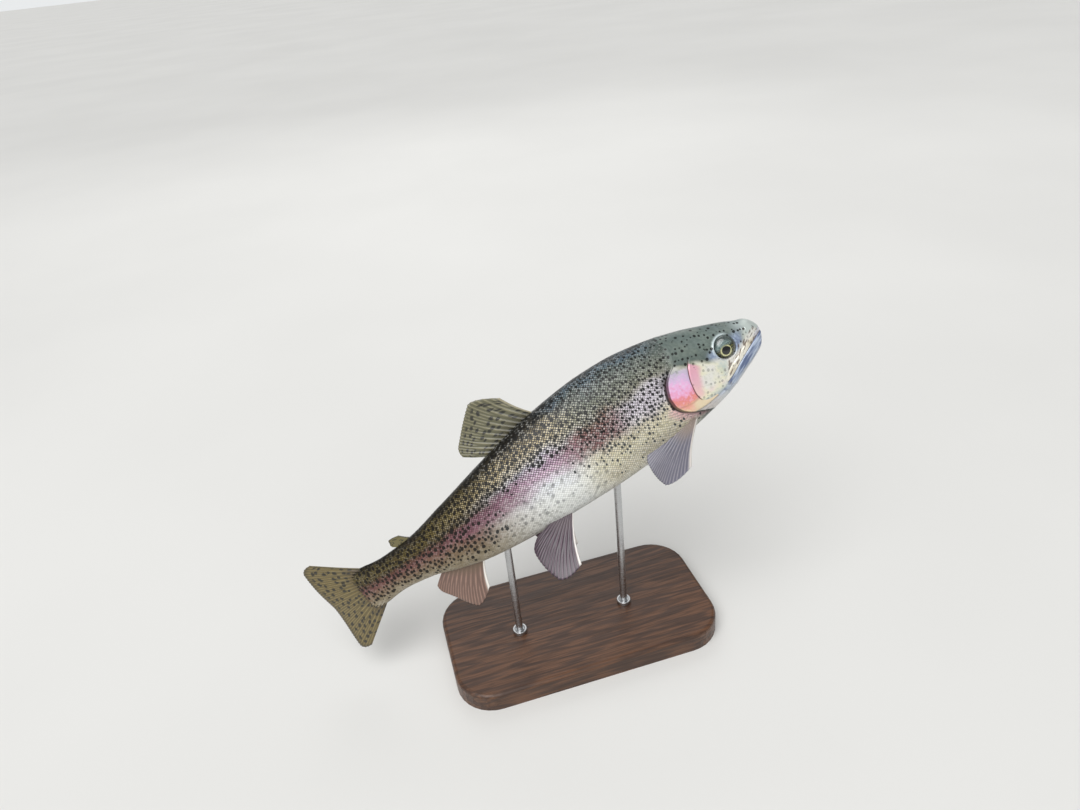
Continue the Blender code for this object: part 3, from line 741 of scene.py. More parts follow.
class Value:
    """A number, vector or colour on its way from one of a material's nodes to the next."""

    def __init__(self, graph: "Graph", node: bpy.types.Node, output: int | str = 0) -> None:
        """Holds an output of a node."""
        self.graph, self.node, self.socket = graph, node, node.outputs[output]

    def other(self, output: int | str) -> "Value":
        """Another output of the same node."""
        return Value(self.graph, self.node, output)

    def parts(self) -> tuple["Value", "Value", "Value"]:
        """The three values of a vector."""
        split = self.graph.add("ShaderNodeSeparateXYZ", {0: self})
        return split, split.other(1), split.other(2)

    def __add__(self, more: object) -> "Value":
        """Sum."""
        return self.graph.math("ADD", self, more)

    def __sub__(self, less: object) -> "Value":
        """Difference."""
        return self.graph.math("SUBTRACT", self, less)

    def __rsub__(self, whole: object) -> "Value":
        """A number less this value."""
        return self.graph.math("SUBTRACT", whole, self)

    def __mul__(self, times: object) -> "Value":
        """Product."""
        return self.graph.math("MULTIPLY", self, times)

    def __abs__(self) -> "Value":
        """The value without its sign."""
        return self.graph.math("ABSOLUTE", self)

    def most(self, rival: object) -> "Value":
        """The larger of two values."""
        return self.graph.math("MAXIMUM", self, rival)

    def span(self, low: object, high: object, start: object = 0.0, end: object = 1.0) -> "Value":
        """Goes smoothly from start, where the value is low, to end, where it is high."""
        inputs = {"Value": self, "From Min": low, "From Max": high, "To Min": start, "To Max": end}
        return self.graph.add("ShaderNodeMapRange", inputs, interpolation_type="SMOOTHSTEP")

    def band(self, start: float, full: float, fade: float, end: float) -> "Value":
        """Rises smoothly from 0 at start to 1 at full, and falls again between fade and end."""
        return self.span(start, full) * self.span(end, fade)

    def mix(self, first: object, second: object) -> "Value":
        """A colour that lies this share of the way from the first to the second."""
        return self.graph.add("ShaderNodeMix", {0: self, 6: first, 7: second}, data_type="RGBA").other(2)

    def under(self, *coats: tuple["Value", object]) -> "Value":
        """This colour with others laid over it in turn, each as (its share, colour).

        Args:
            coats: the shares and colours, the last on top.

        Returns:
            The colour.
        """
        colour = self
        for share, coat in coats:
            colour = share.mix(colour, coat)
        return colour

    def ramp(self, *stops: tuple[float, Colour]) -> "Value":
        """A colour that changes with the value, through stops of (value from 0 to 1, colour).

        Args:
            stops: values from 0 to 1, in rising order, and their colours.

        Returns:
            The colour.
        """
        made = self.graph.add("ShaderNodeValToRGB", {0: self})
        ramp = made.node.color_ramp
        ramp.interpolation = "EASE"
        while len(ramp.elements) < len(stops):
            ramp.elements.new(0.5)
        for element, (place, colour) in zip(ramp.elements, stops):
            element.position, element.color = place, rgb(*colour)
        return made


class Graph:
    """The nodes of one material, added in short calls."""

    def __init__(self, name: str) -> None:
        """Starts a material with only its shader."""
        self.material = bpy.data.materials.new(name)
        self.material.use_nodes = True
        self.tree = self.material.node_tree
        self.shader = self.tree.nodes["Principled BSDF"]

    def feed(self, socket: bpy.types.NodeSocket, value: object) -> None:
        """Links a socket to a value, or sets it to a number, a vector or a colour.

        Args:
            socket: the socket of a node.
            value: what it is to hold.
        """
        if isinstance(value, Value):
            self.tree.links.new(value.socket, socket)
        else:
            socket.default_value = rgb(*value) if socket.type == "RGBA" else value

    def shade(self, **inputs: object) -> bpy.types.Material:
        """Feeds the shader; underscores in the names stand for spaces."""
        for name, value in inputs.items():
            self.feed(self.shader.inputs[name.replace("_", " ")], value)
        return self.material

    def add(self, kind: str, inputs: dict[str | int, object], **settings: object) -> Value:
        """First output of a new node with its inputs and settings.

        Args:
            kind: the node's type.
            inputs: values by the name or number of the input.
            settings: the node's own settings.

        Returns:
            The node's first output.
        """
        node = self.tree.nodes.new(kind)
        for name, value in settings.items():
            setattr(node, name, value)
        for name, value in inputs.items():
            self.feed(node.inputs[name], value)
        return Value(self, node)

    def math(self, operation: str, *values: object, clamp: bool = False) -> Value:
        """Result of a Math node."""
        return self.add("ShaderNodeMath", dict(enumerate(values)), operation=operation, use_clamp=clamp)

    def vector(self, operation: str, *values: object) -> Value:
        """Vector result of a Vector Math node."""
        return self.add("ShaderNodeVectorMath", dict(enumerate(values)), operation=operation)

    def three(self, name: str) -> tuple[Value, Value, Value]:
        """Three values that the piece's vertices hold."""
        return self.add("ShaderNodeAttribute", {}, attribute_name=name).other("Vector").parts()

    def one(self, name: str) -> Value:
        """A value that the piece's vertices hold."""
        return self.add("ShaderNodeAttribute", {}, attribute_name=name).other("Fac")

    def place(self) -> Value:
        """Place in the world, which is the piece's own."""
        return self.add("ShaderNodeTexCoord", {}).other("Object")

    def join(self, x: object, y: object) -> Value:
        """A flat vector from two values."""
        return self.add("ShaderNodeCombineXYZ", {0: x, 1: y})

    def hypot(self, x: Value, y: Value) -> Value:
        """Length of a flat vector."""
        return self.math("SQRT", x * x + y * y)

    def noise(self, place: Value, scale: float, detail: float = 2.0) -> Value:
        """Soft noise from 0 to 1."""
        return self.add("ShaderNodeTexNoise", {"Vector": place, "Scale": scale, "Detail": detail})

    def drawn(self, stretch: Three, scale: float, detail: float) -> Value:
        """Noise that is drawn out along an axis of the piece."""
        return self.noise(self.vector("MULTIPLY", self.place(), stretch), scale, detail)

    def pull(self, place: Value, scale: float, detail: float, reach: Three) -> Value:
        """Moves a place about by noise, as far as reach each way."""
        away = self.vector("SUBTRACT", self.noise(place, scale, detail).other(1), (0.5, 0.5, 0.5))
        return self.vector("ADD", place, self.vector("MULTIPLY", away, reach))

    def cells(self, place: Value, scale: float, randomness: float, dimensions: str = "2D") -> Value:
        """Distance from the middle of the nearest of many scattered cells; its colour is by chance."""
        inputs = {"Vector": place, "Scale": scale, "Randomness": randomness}
        return self.add("ShaderNodeTexVoronoi", inputs, voronoi_dimensions=dimensions)

    def bump(self, height: Value, distance: float, strength: float) -> Value:
        """A surface normal from a height."""
        return self.add("ShaderNodeBump", {"Height": height, "Distance": distance, "Strength": strength})


@dataclass(frozen=True)
class SpotLayer:
    """One scatter of dark spots."""

    spacing: float
    radius: float
    shift: float  # moves the pattern, so that layers differ
    ragged: float  # how far noise pulls the spots' edges about
    soft: float = 0.14
    randomness: float = 0.85
    tall: float = 1.2  # height of a spot against its length
    least: float = 0.66  # size of the smallest spots against the radius
    dimensions: str = "2D"


@dataclass(frozen=True)
class TroutColours:
    """Markings shared by the skin and the scales, from the belly, -1, to the back, 1."""

    front: tuple = (
        (-1.0, (214, 210, 196)), (-0.72, (216, 208, 182)), (-0.48, (228, 220, 188)), (-0.28, (226, 216, 186)),
        (-0.12, (218, 206, 194)), (0.04, (212, 196, 204)), (0.16, (190, 176, 176)), (0.28, (156, 151, 135)),
        (0.45, (130, 132, 116)), (0.62, (112, 119, 107)), (0.8, (104, 115, 113)), (0.93, (97, 116, 128)),
        (1.0, (36, 44, 50)),
    )
    middle: tuple = (
        (-1.0, (214, 216, 214)), (-0.7, (226, 228, 224)), (-0.45, (244, 246, 244)), (-0.2, (244, 246, 250)),
        (-0.06, (244, 230, 244)), (0.08, (228, 194, 218)), (0.2, (202, 174, 198)), (0.32, (184, 180, 194)),
        (0.44, (162, 158, 150)), (0.58, (138, 126, 100)), (0.72, (88, 77, 53)), (0.85, (30, 25, 16)),
        (1.0, (16, 13, 9)),
    )
    # From -0.45 to -0.05 the rear's colours are partly its own and partly painted shade.
    rear: tuple = (
        (-1.0, (160, 150, 130)), (-0.7, (140, 126, 100)), (-0.45, (126, 104, 80)), (-0.25, (126, 92, 76)),
        (-0.05, (126, 80, 76)), (0.12, (110, 76, 62)), (0.3, (98, 84, 50)), (0.5, (106, 92, 48)),
        (0.75, (86, 75, 36)), (0.9, (48, 41, 19)), (1.0, (30, 25, 12)),
    )
    dense: SpotLayer = SpotLayer(3.4 * MM, 1.1 * MM, 3.7, 0.3 * MM, 0.13, 0.64, 1.32)
    bold: SpotLayer = SpotLayer(3.8 * MM, 1.33 * MM, 5.3, 0.52 * MM, 0.13, 0.66, 1.08, 0.76)
    pale: SpotLayer = SpotLayer(6.2 * MM, 1.3 * MM, 9.4, 0.6 * MM, 0.2, 0.7, 1.1)
    small: SpotLayer = SpotLayer(3.1 * MM, 0.62 * MM, 11.2, 0.5 * MM)
    head: SpotLayer = SpotLayer(3.25 * MM, 0.98 * MM, 0.0, 0.35 * MM, 0.1, 0.64, 1.0, 0.78, "3D")


class Markings:
    """The trout's colours and spots, with painted highlights and painted shade, as nodes in a material."""

    def __init__(self, graph: Graph, colours: TroutColours) -> None:
        """Reads what the vertices hold.

        Args:
            graph: the material's nodes.
            colours: the colours and the layers of spots.
        """
        self.graph, self.colours = graph, colours
        self.station, arc, self.height = graph.three("body")
        self.place = graph.join(self.station * LENGTH, arc)
        self.blotch, self.fine = graph.noise(self.place, 70.0, 3.0), graph.noise(self.place, 420.0, 2.0)
        self.zone = graph.one("zone") + self.blotch.span(0.25, 0.75, -0.07, 0.07)
        self.cover, face, self.jaw = graph.three("plates")
        # Painted shade of the head's hollows and the gill opening, the rose blush, and the upper jaw bone.
        self.cut, self.blush, self.lip = graph.three("marks")
        self.face = (face + self.blotch.span(0.25, 0.75, -0.16, 0.16)).span(0.28, 0.72)
        self.lip_line, self.eye, self.lid_highlight = graph.three("near")
        self.lines = graph.three("lines")
        self.on_head = self.station.span(0.24, 0.18).most(self.cover)

    def paint(self) -> dict[str, Value]:
        """Builds the markings.

        Returns:
            The colour, the metallic value and the roughness.
        """
        station, height, zone = self.station, self.height, self.zone
        head = self.cover.mix(self.skull(), self.shield())
        rose = (self.blush + self.blotch.span(0.3, 0.7, -0.16, 0.16)).span(0.1, 0.95)
        pink = height.span(-0.055, 0.0).mix((238, 186, 194), (228, 152, 184))
        colour = self.scaled(self.on_head.mix(self.flank(), head).under((rose * 0.78, pink)))
        spotted = self.scatter()
        ink = zone.span(-0.45, 0.1).mix((62, 66, 68), (12, 12, 11))
        ink = station.span(0.55, 0.75).mix(ink, (15, 10, 4))
        colour = self.grooves(colour.under((spotted * 0.96, ink)))
        # No metal in the spots, nor in the painted shade.
        clear = (1.0 - spotted) * (1.0 - self.cut)
        silver = zone.span(-0.95, -0.5) * zone.span(0.55, 0.1)
        return {
            "Base_Color": colour, "Metallic": silver * clear * 0.26 + 0.03,
            "Roughness": self.fine.span(0.2, 0.8, 0.28, 0.42),
        }

    def spots(self, place: Value, layer: SpotLayer, amount: Value) -> Value:
        """Mask of one layer of spots.

        Args:
            place: place on the body in metres.
            layer: the spots' sizes.
            amount: how many of the possible spots there are, from 0 to 1.

        Returns:
            1 inside a spot, 0 outside.
        """
        graph, wide = self.graph, layer.radius / layer.spacing
        shift = (layer.shift, layer.shift * 0.6, 0.0)
        moved = graph.vector("MULTIPLY_ADD", place, (layer.tall, 1.0, 1.0), shift)
        moved = graph.pull(moved, 420.0, 2.0, (layer.ragged * 2,) * 3)
        cells = graph.cells(moved, 1 / layer.spacing, layer.randomness, layer.dimensions)
        chance, size, _ = cells.other("Color").parts()
        present = (amount - chance).span(-0.04, 0.06)
        radius = size.span(0.0, 1.0, wide * layer.least, wide * 1.2) * present
        return cells.span(radius - layer.soft / 2, radius + layer.soft / 2, 1.0, 0.0) * present

    def flank(self) -> Value:
        """Colour of the trunk and the tail stalk, with the pink stripe.

        Returns:
            The colour.
        """
        station, zone, made = self.station, self.zone, self.colours
        level = self.graph.math("MULTIPLY_ADD", zone, 0.5, 0.5, clamp=True)
        front, middle, rear = (
            level.ramp(*(((place + 1) / 2, colour) for place, colour in stops))
            for stops in (made.front, made.middle, made.rear)
        )
        rust = zone.band(-0.3, 0.0, 0.2, 0.42) * station.band(0.305, 0.385, 0.41, 0.53)
        mauve = zone.band(-0.34, -0.06, 0.1, 0.3) * station.band(0.545, 0.635, 0.7, 0.84)
        sheen = zone.band(-0.36, -0.08, 0.18, 0.38) * station.span(0.355, 0.31)
        return front.under(
            (station.span(0.4, 0.5), middle), (station.span(0.52, 0.74), rear), (rust * 0.76, (132, 70, 62)),
            (mauve * 0.55, (148, 98, 120)), (sheen * 0.75, (236, 230, 242)),
        )

    def scaled(self, colour: Value) -> Value:
        """Painted highlights on the scales' middles and painted shade at their edges over a colour, and the
        painted glints between the spots.

        Args:
            colour: the colour without scales.

        Returns:
            The colour with them.
        """
        station, zone, tone = self.station, self.zone, self.graph.one("tone")
        along, beside, on_scale = self.graph.three("scale_place")
        low = zone.span(0.8, 0.3, 0.7, 1.0)
        # Painted highlights: scales that by chance are nearly white, as if catching the light.
        lit = tone.span(0.4, 0.0, 0.0, 0.3) * on_scale * station.span(0.2, 0.42, 0.45, 1.0)
        lit *= low * station.span(0.56, 0.72, 1.0, 0.25)
        # Painted glints: fine bright specks between the spots, white low on the flank and grey-green higher
        # up.
        flecks = self.graph.noise(self.place, 760.0, 1.0).span(0.56, 0.7) * low * (1.0 - self.on_head)
        flecks *= station.span(0.42, 0.34, 0.14, 0.54) * station.span(0.54, 0.68, 1.0, 0.0)
        glint = zone.span(0.05, 0.5).mix((244, 242, 238), (158, 166, 156))
        # Painted highlight on each scale's middle, on the upper flank.
        away = self.graph.hypot((along - 0.4) * 1.55, beside * 1.2)
        middle_highlight = away.span(0.62, 0.2) * on_scale * tone.span(1.0, 0.1, 0.25, 1.0)
        middle_highlight *= zone.band(0.16, 0.36, 0.68, 0.92) * station.band(0.36, 0.46, 0.6, 0.86)
        highlight_tint = zone.span(0.25, 0.55).mix((232, 226, 226), (232, 210, 160))
        # Painted shade at each scale's edges, where its neighbours overlap it, near black on the upper flank.
        edge = away.span(0.4, 0.74) * on_scale * station.span(0.2, 0.4, 0.58, 1.0)
        edge *= zone.span(-0.5, 0.4, station.span(0.38, 0.48, 0.66, 0.3), 0.94)
        rim = zone.span(-0.5, 0.15).mix((100, 98, 90), (17, 13, 8))
        return colour.under(
            (tone.span(0.45, 1.0, 0.0, 0.32), (36, 33, 22)), (lit, (246, 246, 242)), (flecks, glint),
            (middle_highlight * 0.54, highlight_tint), (edge, rim),
        )

    def skull(self) -> Value:
        """Colour of the head without the gill cover: crown, pale face, lower jaw and upper jaw bone, with a
        painted highlight on the cheek and on the eye's lid.

        Returns:
            The colour.
        """
        graph, station, height, zone = self.graph, self.station, self.height, self.zone
        blotch, fine = self.blotch, self.fine
        mottle = fine.span(0.36, 0.66, 0.0, 0.42) * station.span(0.03, 0.07)
        lilac = self.eye.span(0.1, 0.42) * height.span(0.012, -0.006)
        bluish = fine.span(0.4, 0.62).mix((132, 144, 172), (166, 182, 204))
        crown = (station * 4.0).ramp(  # from the snout to the nape
            (0.0, (196, 200, 196)), (0.1, (166, 176, 176)), (0.22, (112, 122, 122)),
            (0.4, (106, 118, 114)), (0.7, (99, 110, 105)), (1.0, (93, 102, 96)),
        ).under(
            (zone.span(0.6, 1.0, 0.0, 0.35), (76, 88, 92)),
            (blotch.span(0.4, 0.75, 0.0, 0.35), (134, 144, 128)), (mottle, (74, 86, 80)),
            (lilac * 0.88, bluish),
        )

        patch = graph.hypot(station * 1.5 - 0.1635, height * 0.8 + 0.0348)
        patch += fine.span(0.3, 0.7, -0.008, 0.008)
        # Painted highlight: a pale glint on the cheek behind the eye.
        glint = abs(station * -0.76 + 0.0911 + height).span(0.006, 0.0015)
        glint *= station.band(0.108, 0.122, 0.146, 0.158) * fine.span(0.38, 0.56)
        white = self.lip_line.span(2.62, 2.25) * station.span(0.128, 0.1)
        pale = blotch.span(0.36, 0.66).mix((234, 230, 198), (232, 230, 222)).under(
            (fine.span(0.48, 0.7, 0.0, 0.5), (196, 198, 182)),
            (height.span(-0.062, -0.082, 0.0, 0.85), (160, 178, 196)),
            (patch.span(0.026, 0.002, 0.0, 0.6), (166, 188, 190)), (glint * 0.85, (226, 230, 250)),
            (station.span(0.052, 0.022), (188, 197, 192)), (white * 0.75, (230, 226, 218)),
        )

        below_mouth = self.lines[1] * 4.5
        streak = graph.noise(graph.join(station * 24.0, below_mouth), 1.0, 2.0)
        under = streak.span(0.38, 0.64).mix((98, 112, 146), (186, 198, 216)).under(
            (zone.span(-0.8, -0.95), (200, 202, 204)),
            (station.span(0.128, 0.176, 0.0, 0.85), (206, 198, 190)),
        )
        bone = blotch.span(0.4, 0.6).mix((216, 208, 188), (236, 232, 218))
        bone = station.span(0.03, 0.006).mix(bone, (206, 206, 212))
        brown = abs(self.lip_line - 2.06).span(0.62, 0.1)
        slant = graph.join(station * 82.0 + below_mouth * 0.5, below_mouth)
        dashes = (brown * 0.12 + graph.noise(slant, 1.0, 3.0)).span(0.6, 0.72)
        dashes *= brown.span(0.0, 0.3) * station.span(0.124, 0.108)
        # The last coat is the painted highlight on the eye's lid.
        return crown.under(
            (self.face, pale), (self.jaw, under), (self.lip, bone), (dashes * 0.8, (92, 70, 56)),
            (self.lid_highlight * 0.85, (212, 224, 226)),
        )

    def shield(self) -> Value:
        """Colour of the gill cover: cream and orange at its foot, through pink, to lilac at its top.

        Returns:
            The colour.
        """
        station, height, fine = self.station, self.height, self.fine
        level = station * -0.8 + height + self.blotch.span(0.25, 0.75, -0.013, 0.013)
        level += fine.span(0.25, 0.75, -0.008, 0.008)
        corner = station.span(0.218, 0.196) * height.span(-0.052, -0.064)
        return self.graph.math("MULTIPLY_ADD", level, 9.09, 2.209, clamp=True).ramp(  # foot to top
            (0.0, (236, 210, 172)), (0.15, (236, 168, 148)), (0.26, (232, 144, 138)),
            (0.345, (236, 152, 166)), (0.43, (240, 170, 204)), (0.56, (238, 188, 226)),
            (0.72, (218, 190, 222)), (0.86, (196, 184, 204)), (1.0, (132, 140, 136)),
        ).under((fine.span(0.5, 0.74, 0.0, 0.34), (250, 228, 240)), (corner * 0.9, (230, 216, 182)))

    def scatter(self) -> Value:
        """Mask of all the dark spots: small and close behind the head, bolder towards the tail.

        Returns:
            1 inside a spot, 0 outside.
        """
        station, zone, layers = self.station, self.zone, self.colours
        many = zone.span(-0.75, 0.0, 0.12, 1.0) * (1.0 - self.on_head)
        rearward = station.span(0.36, 0.5)
        ahead = (1.0 - rearward) * many
        tail = station.span(0.6, 0.74)
        above = zone.span(0.08, 0.36).most(tail)
        below = zone.band(-0.85, -0.6, -0.1, 0.1) * (rearward - tail * rearward)
        bold = rearward * above * zone.span(-0.9, -0.6)
        masks = [
            self.spots(self.place, layers.dense, ahead * 0.97),
            self.spots(self.place, layers.bold, bold * 0.96),
            self.spots(self.place, layers.pale, below * 0.85) * 0.55,
            self.spots(self.place, layers.small, bold * 0.25) * 0.8,
        ]
        above = 1.0 - self.face.most(self.cover.most(self.jaw))
        amount = self.on_head * above.span(0.0, 1.0, 0.62, 0.97) * station.span(0.01, 0.07, 0.35, 1.0)
        # Fewer spots on the jaw, and none under the painted highlight on the eye's lid.
        amount -= (self.jaw * 0.55).most(self.lid_highlight)
        dots = self.spots(self.graph.place(), layers.head, amount * (1.0 - self.cover))
        masks.append(dots * above.span(0.0, 1.0, 0.44, 0.97))
        return reduce(Value.most, masks)

    def grooves(self, colour: Value) -> Value:
        """Draws the fine dark lines of the head, which are painted shade in its grooves, the painted shade of
        its hollows, and the lateral line over a colour.

        Args:
            colour: the colour without the lines.

        Returns:
            The colour with them.
        """
        station, height, (preopercle, mouth, foot) = self.station, self.height, self.lines
        # Painted shade along the grooves of the preopercle, of the mouth and of the cover's foot.
        for line, width, limit, share, dark in (  # a line is thin, and lies where its distance is 2
            (preopercle, 0.55, height.band(-0.07, -0.06, 0.012, 0.021), 0.9, (92, 34, 40)),
            (mouth, 0.6, station.span(0.121, 0.112), 0.7, (74, 64, 84)),
            (foot, 0.85, station.band(0.128, 0.15, 0.205, 0.216), 0.32, (110, 96, 96)),
        ):
            drawn = abs(line - 2.0).span(width / LINE_REACH, width * 0.35 / LINE_REACH) * limit
            colour = (drawn * share).mix(colour, dark)
        pores = abs(height - station.span(0.16, 0.44, 0.026, 0.0)).span(0.0022, 0.0006)
        pores *= station.span(0.236, 0.25) * 0.22
        # Painted shade, dark red, in the hollows and the gill opening; the lateral line's pores are their own
        # colour.
        return colour.under((self.cut * 0.93, (40, 22, 22)), (pores, (60, 46, 44)))


@dataclass(frozen=True)
class SkinFinish:
    """Wet skin with the trout's markings."""

    colours: TroutColours = TroutColours()
    coat: float = 0.24
    coat_rough: float = 0.12

    def material(self, name: str) -> bpy.types.Material:
        """Makes the finish.

        Args:
            name: the material's name.

        Returns:
            The material.
        """
        graph = Graph(name)
        marks = Markings(graph, self.colours)
        normal = graph.bump(graph.noise(marks.place, 1500.0), 0.06 * MM, 0.5)
        return graph.shade(
            **marks.paint(), Coat_Weight=self.coat, Coat_Roughness=self.coat_rough, IOR=1.32, Normal=normal
        )


@dataclass(frozen=True)
class FinFinish:
    """Rays and web of a fin, with its spots and its pale leading edge."""

    web: Colour
    ray: Colour
    base: Colour
    edge: Colour
    spots: float = 0.0  # share of the fin that is spotted
    dark_rim: float = 0.0
    edge_width: float = 0.05

    def material(self, name: str, rays: int) -> bpy.types.Material:
        """Makes the finish.

        Args:
            name: the material's name.
            rays: how many rays the fin has.

        Returns:
            The material.
        """
        graph = Graph(name)
        share, out, ridge = graph.three("fin")
        mottle = graph.noise(graph.place(), 260.0, 3.0)
        place = graph.join(share * (rays * 0.68), out * 9.5)
        cells = graph.cells(graph.pull(place, 2.4, 1.0, (0.35, 0.6, 0.0)), 1.0, 0.62)
        there = graph.math("LESS_THAN", cells.other("Color").parts()[0], self.spots)
        dots = cells.span(0.2, 0.38, 1.0, 0.0) * there * out.span(0.96, 0.88)
        colour = ridge.span(0.15, 0.9).mix(self.web, self.ray).under(
            (mottle.span(0.3, 0.7, 0.0, 0.35), self.web), (out.span(0.42, 0.12), self.base),
            (dots * 0.9, (22, 21, 16)), (out.span(0.9, 0.99, 0.0, self.dark_rim), (36, 33, 24)),
            (share.span(self.edge_width, self.edge_width * 0.4), self.edge),
        )
        joints = graph.math("SINE", out * 190.0) * ridge * out.span(0.15, 0.4)
        return graph.shade(
            Base_Color=colour, Roughness=0.34, Coat_Weight=0.35, Coat_Roughness=0.12,
            Normal=graph.bump(joints, 0.05 * MM, 0.5),
        )


@dataclass(frozen=True)
class EyeFinish:
    """Black pupil in a thin gold ring, a dark olive iris with a painted reflection of the sky over its upper
    part, and a wet clear surface; sizes in millimetres.
    """

    pupil: float = 3.0
    ring: float = 4.05
    notch: float = 0.5
    centre: Pair = (-1.3, -2.0)  # forward and up from the middle of the eyeball

    def material(self, name: str) -> bpy.types.Material:
        """Makes the finish.

        Args:
            name: the material's name.

        Returns:
            The material.
        """
        graph = Graph(name)
        forward, up, _ = graph.three("gaze")
        forward, up = forward - self.centre[0], up - self.centre[1]
        distance, angle = graph.hypot(forward, up), graph.math("ARCTAN2", up, forward)
        notch = graph.math("POWER", graph.math("COSINE", angle).most(0.0), 8.0) * self.notch
        flecks = graph.noise(graph.join(angle * 1.6, distance * 0.9), 3.0, 4.0)
        # Painted reflection of the sky: the upper iris paler and greyer than the lower.
        above = flecks.span(0.4, 0.62).mix((72, 90, 92), (132, 152, 148))
        ring = distance.band(self.pupil - 0.1, self.pupil + 0.35, self.ring - 0.35, self.ring + 0.35)
        gold = flecks.span(0.4, 0.56).mix((238, 236, 200), (172, 170, 100))
        colour = flecks.span(0.5, 0.64).mix((12, 16, 15), (122, 124, 58)).under(
            (up.span(0.8, 4.6, 0.0, 0.92), above), (ring * up.span(3.6, 2.0, 0.35, 1.0), gold),
            ((distance - notch).span(self.pupil + 0.12, self.pupil - 0.12), (4, 4, 5)),
            (distance.span(6.4, 8.2, 0.0, 0.7), (30, 32, 28)),
        )
        return graph.shade(
            Base_Color=colour, Roughness=0.22, Metallic=ring * 0.25, Coat_Weight=1.0, Coat_Roughness=0.02,
            Coat_IOR=1.5,
        )


@dataclass(frozen=True)
class WoodFinish:
    """Oiled walnut with its grain along X."""

    dark: Colour = (68, 43, 28)
    light: Colour = (98, 64, 41)

    def material(self, name: str) -> bpy.types.Material:
        """Makes the finish.

        Args:
            name: the material's name.

        Returns:
            The material.
        """
        graph = Graph(name)
        rings = graph.math("SINE", graph.drawn((1.0, 9.0, 9.0), 7.0, 3.0) * 46.0)
        fibre = graph.drawn((30.0, 900.0, 900.0), 1.0, 3.0)
        pores = graph.drawn((90.0, 1800.0, 1800.0), 1.0, 1.0)
        colour = rings.span(-1.0, 1.0).mix(self.dark, self.light).under(
            (fibre.span(0.35, 0.7, 0.0, 0.55), (40, 24, 14)), (pores.span(0.62, 0.7, 0.0, 0.5), (24, 14, 8)),
        )
        return graph.shade(
            Base_Color=colour, Roughness=fibre.span(0.3, 0.7, 0.36, 0.52), Coat_Weight=0.15,
            Coat_Roughness=0.25, Normal=graph.bump(fibre + pores * 0.6, 0.1 * MM, 0.35),
        )


@dataclass(frozen=True)
class SteelFinish:
    """Brushed stainless steel, turned round Z."""

    tint: Colour = (196, 197, 198)

    def material(self, name: str) -> bpy.types.Material:
        """Makes the finish.

        Args:
            name: the material's name.

        Returns:
            The material.
        """
        graph = Graph(name)
        brushed = graph.drawn((60.0, 60.0, 5200.0), 1.0, 2.0)
        smudge = graph.noise(graph.place(), 70.0, 2.0).span(0.3, 0.7, 0.0, 0.25)
        return graph.shade(
            Base_Color=smudge.mix(self.tint, (160, 161, 164)), Metallic=1.0,
            Roughness=brushed.span(0.3, 0.7, 0.24, 0.38), Normal=graph.bump(brushed, 0.02 * MM, 0.4),
        )


@dataclass(frozen=True)
class FloorFinish:
    """Pale matt floor with the faintest unevenness."""

    def material(self, name: str) -> bpy.types.Material:
        """Makes the finish.

        Args:
            name: the material's name.

        Returns:
            The material.
        """
        graph = Graph(name)
        cloud = graph.noise(graph.place(), 1.5, 3.0).span(0.2, 0.8)
        return graph.shade(Base_Color=cloud.mix((214, 213, 210), (220, 219, 216)), Roughness=0.75)


# --- Pieces ---


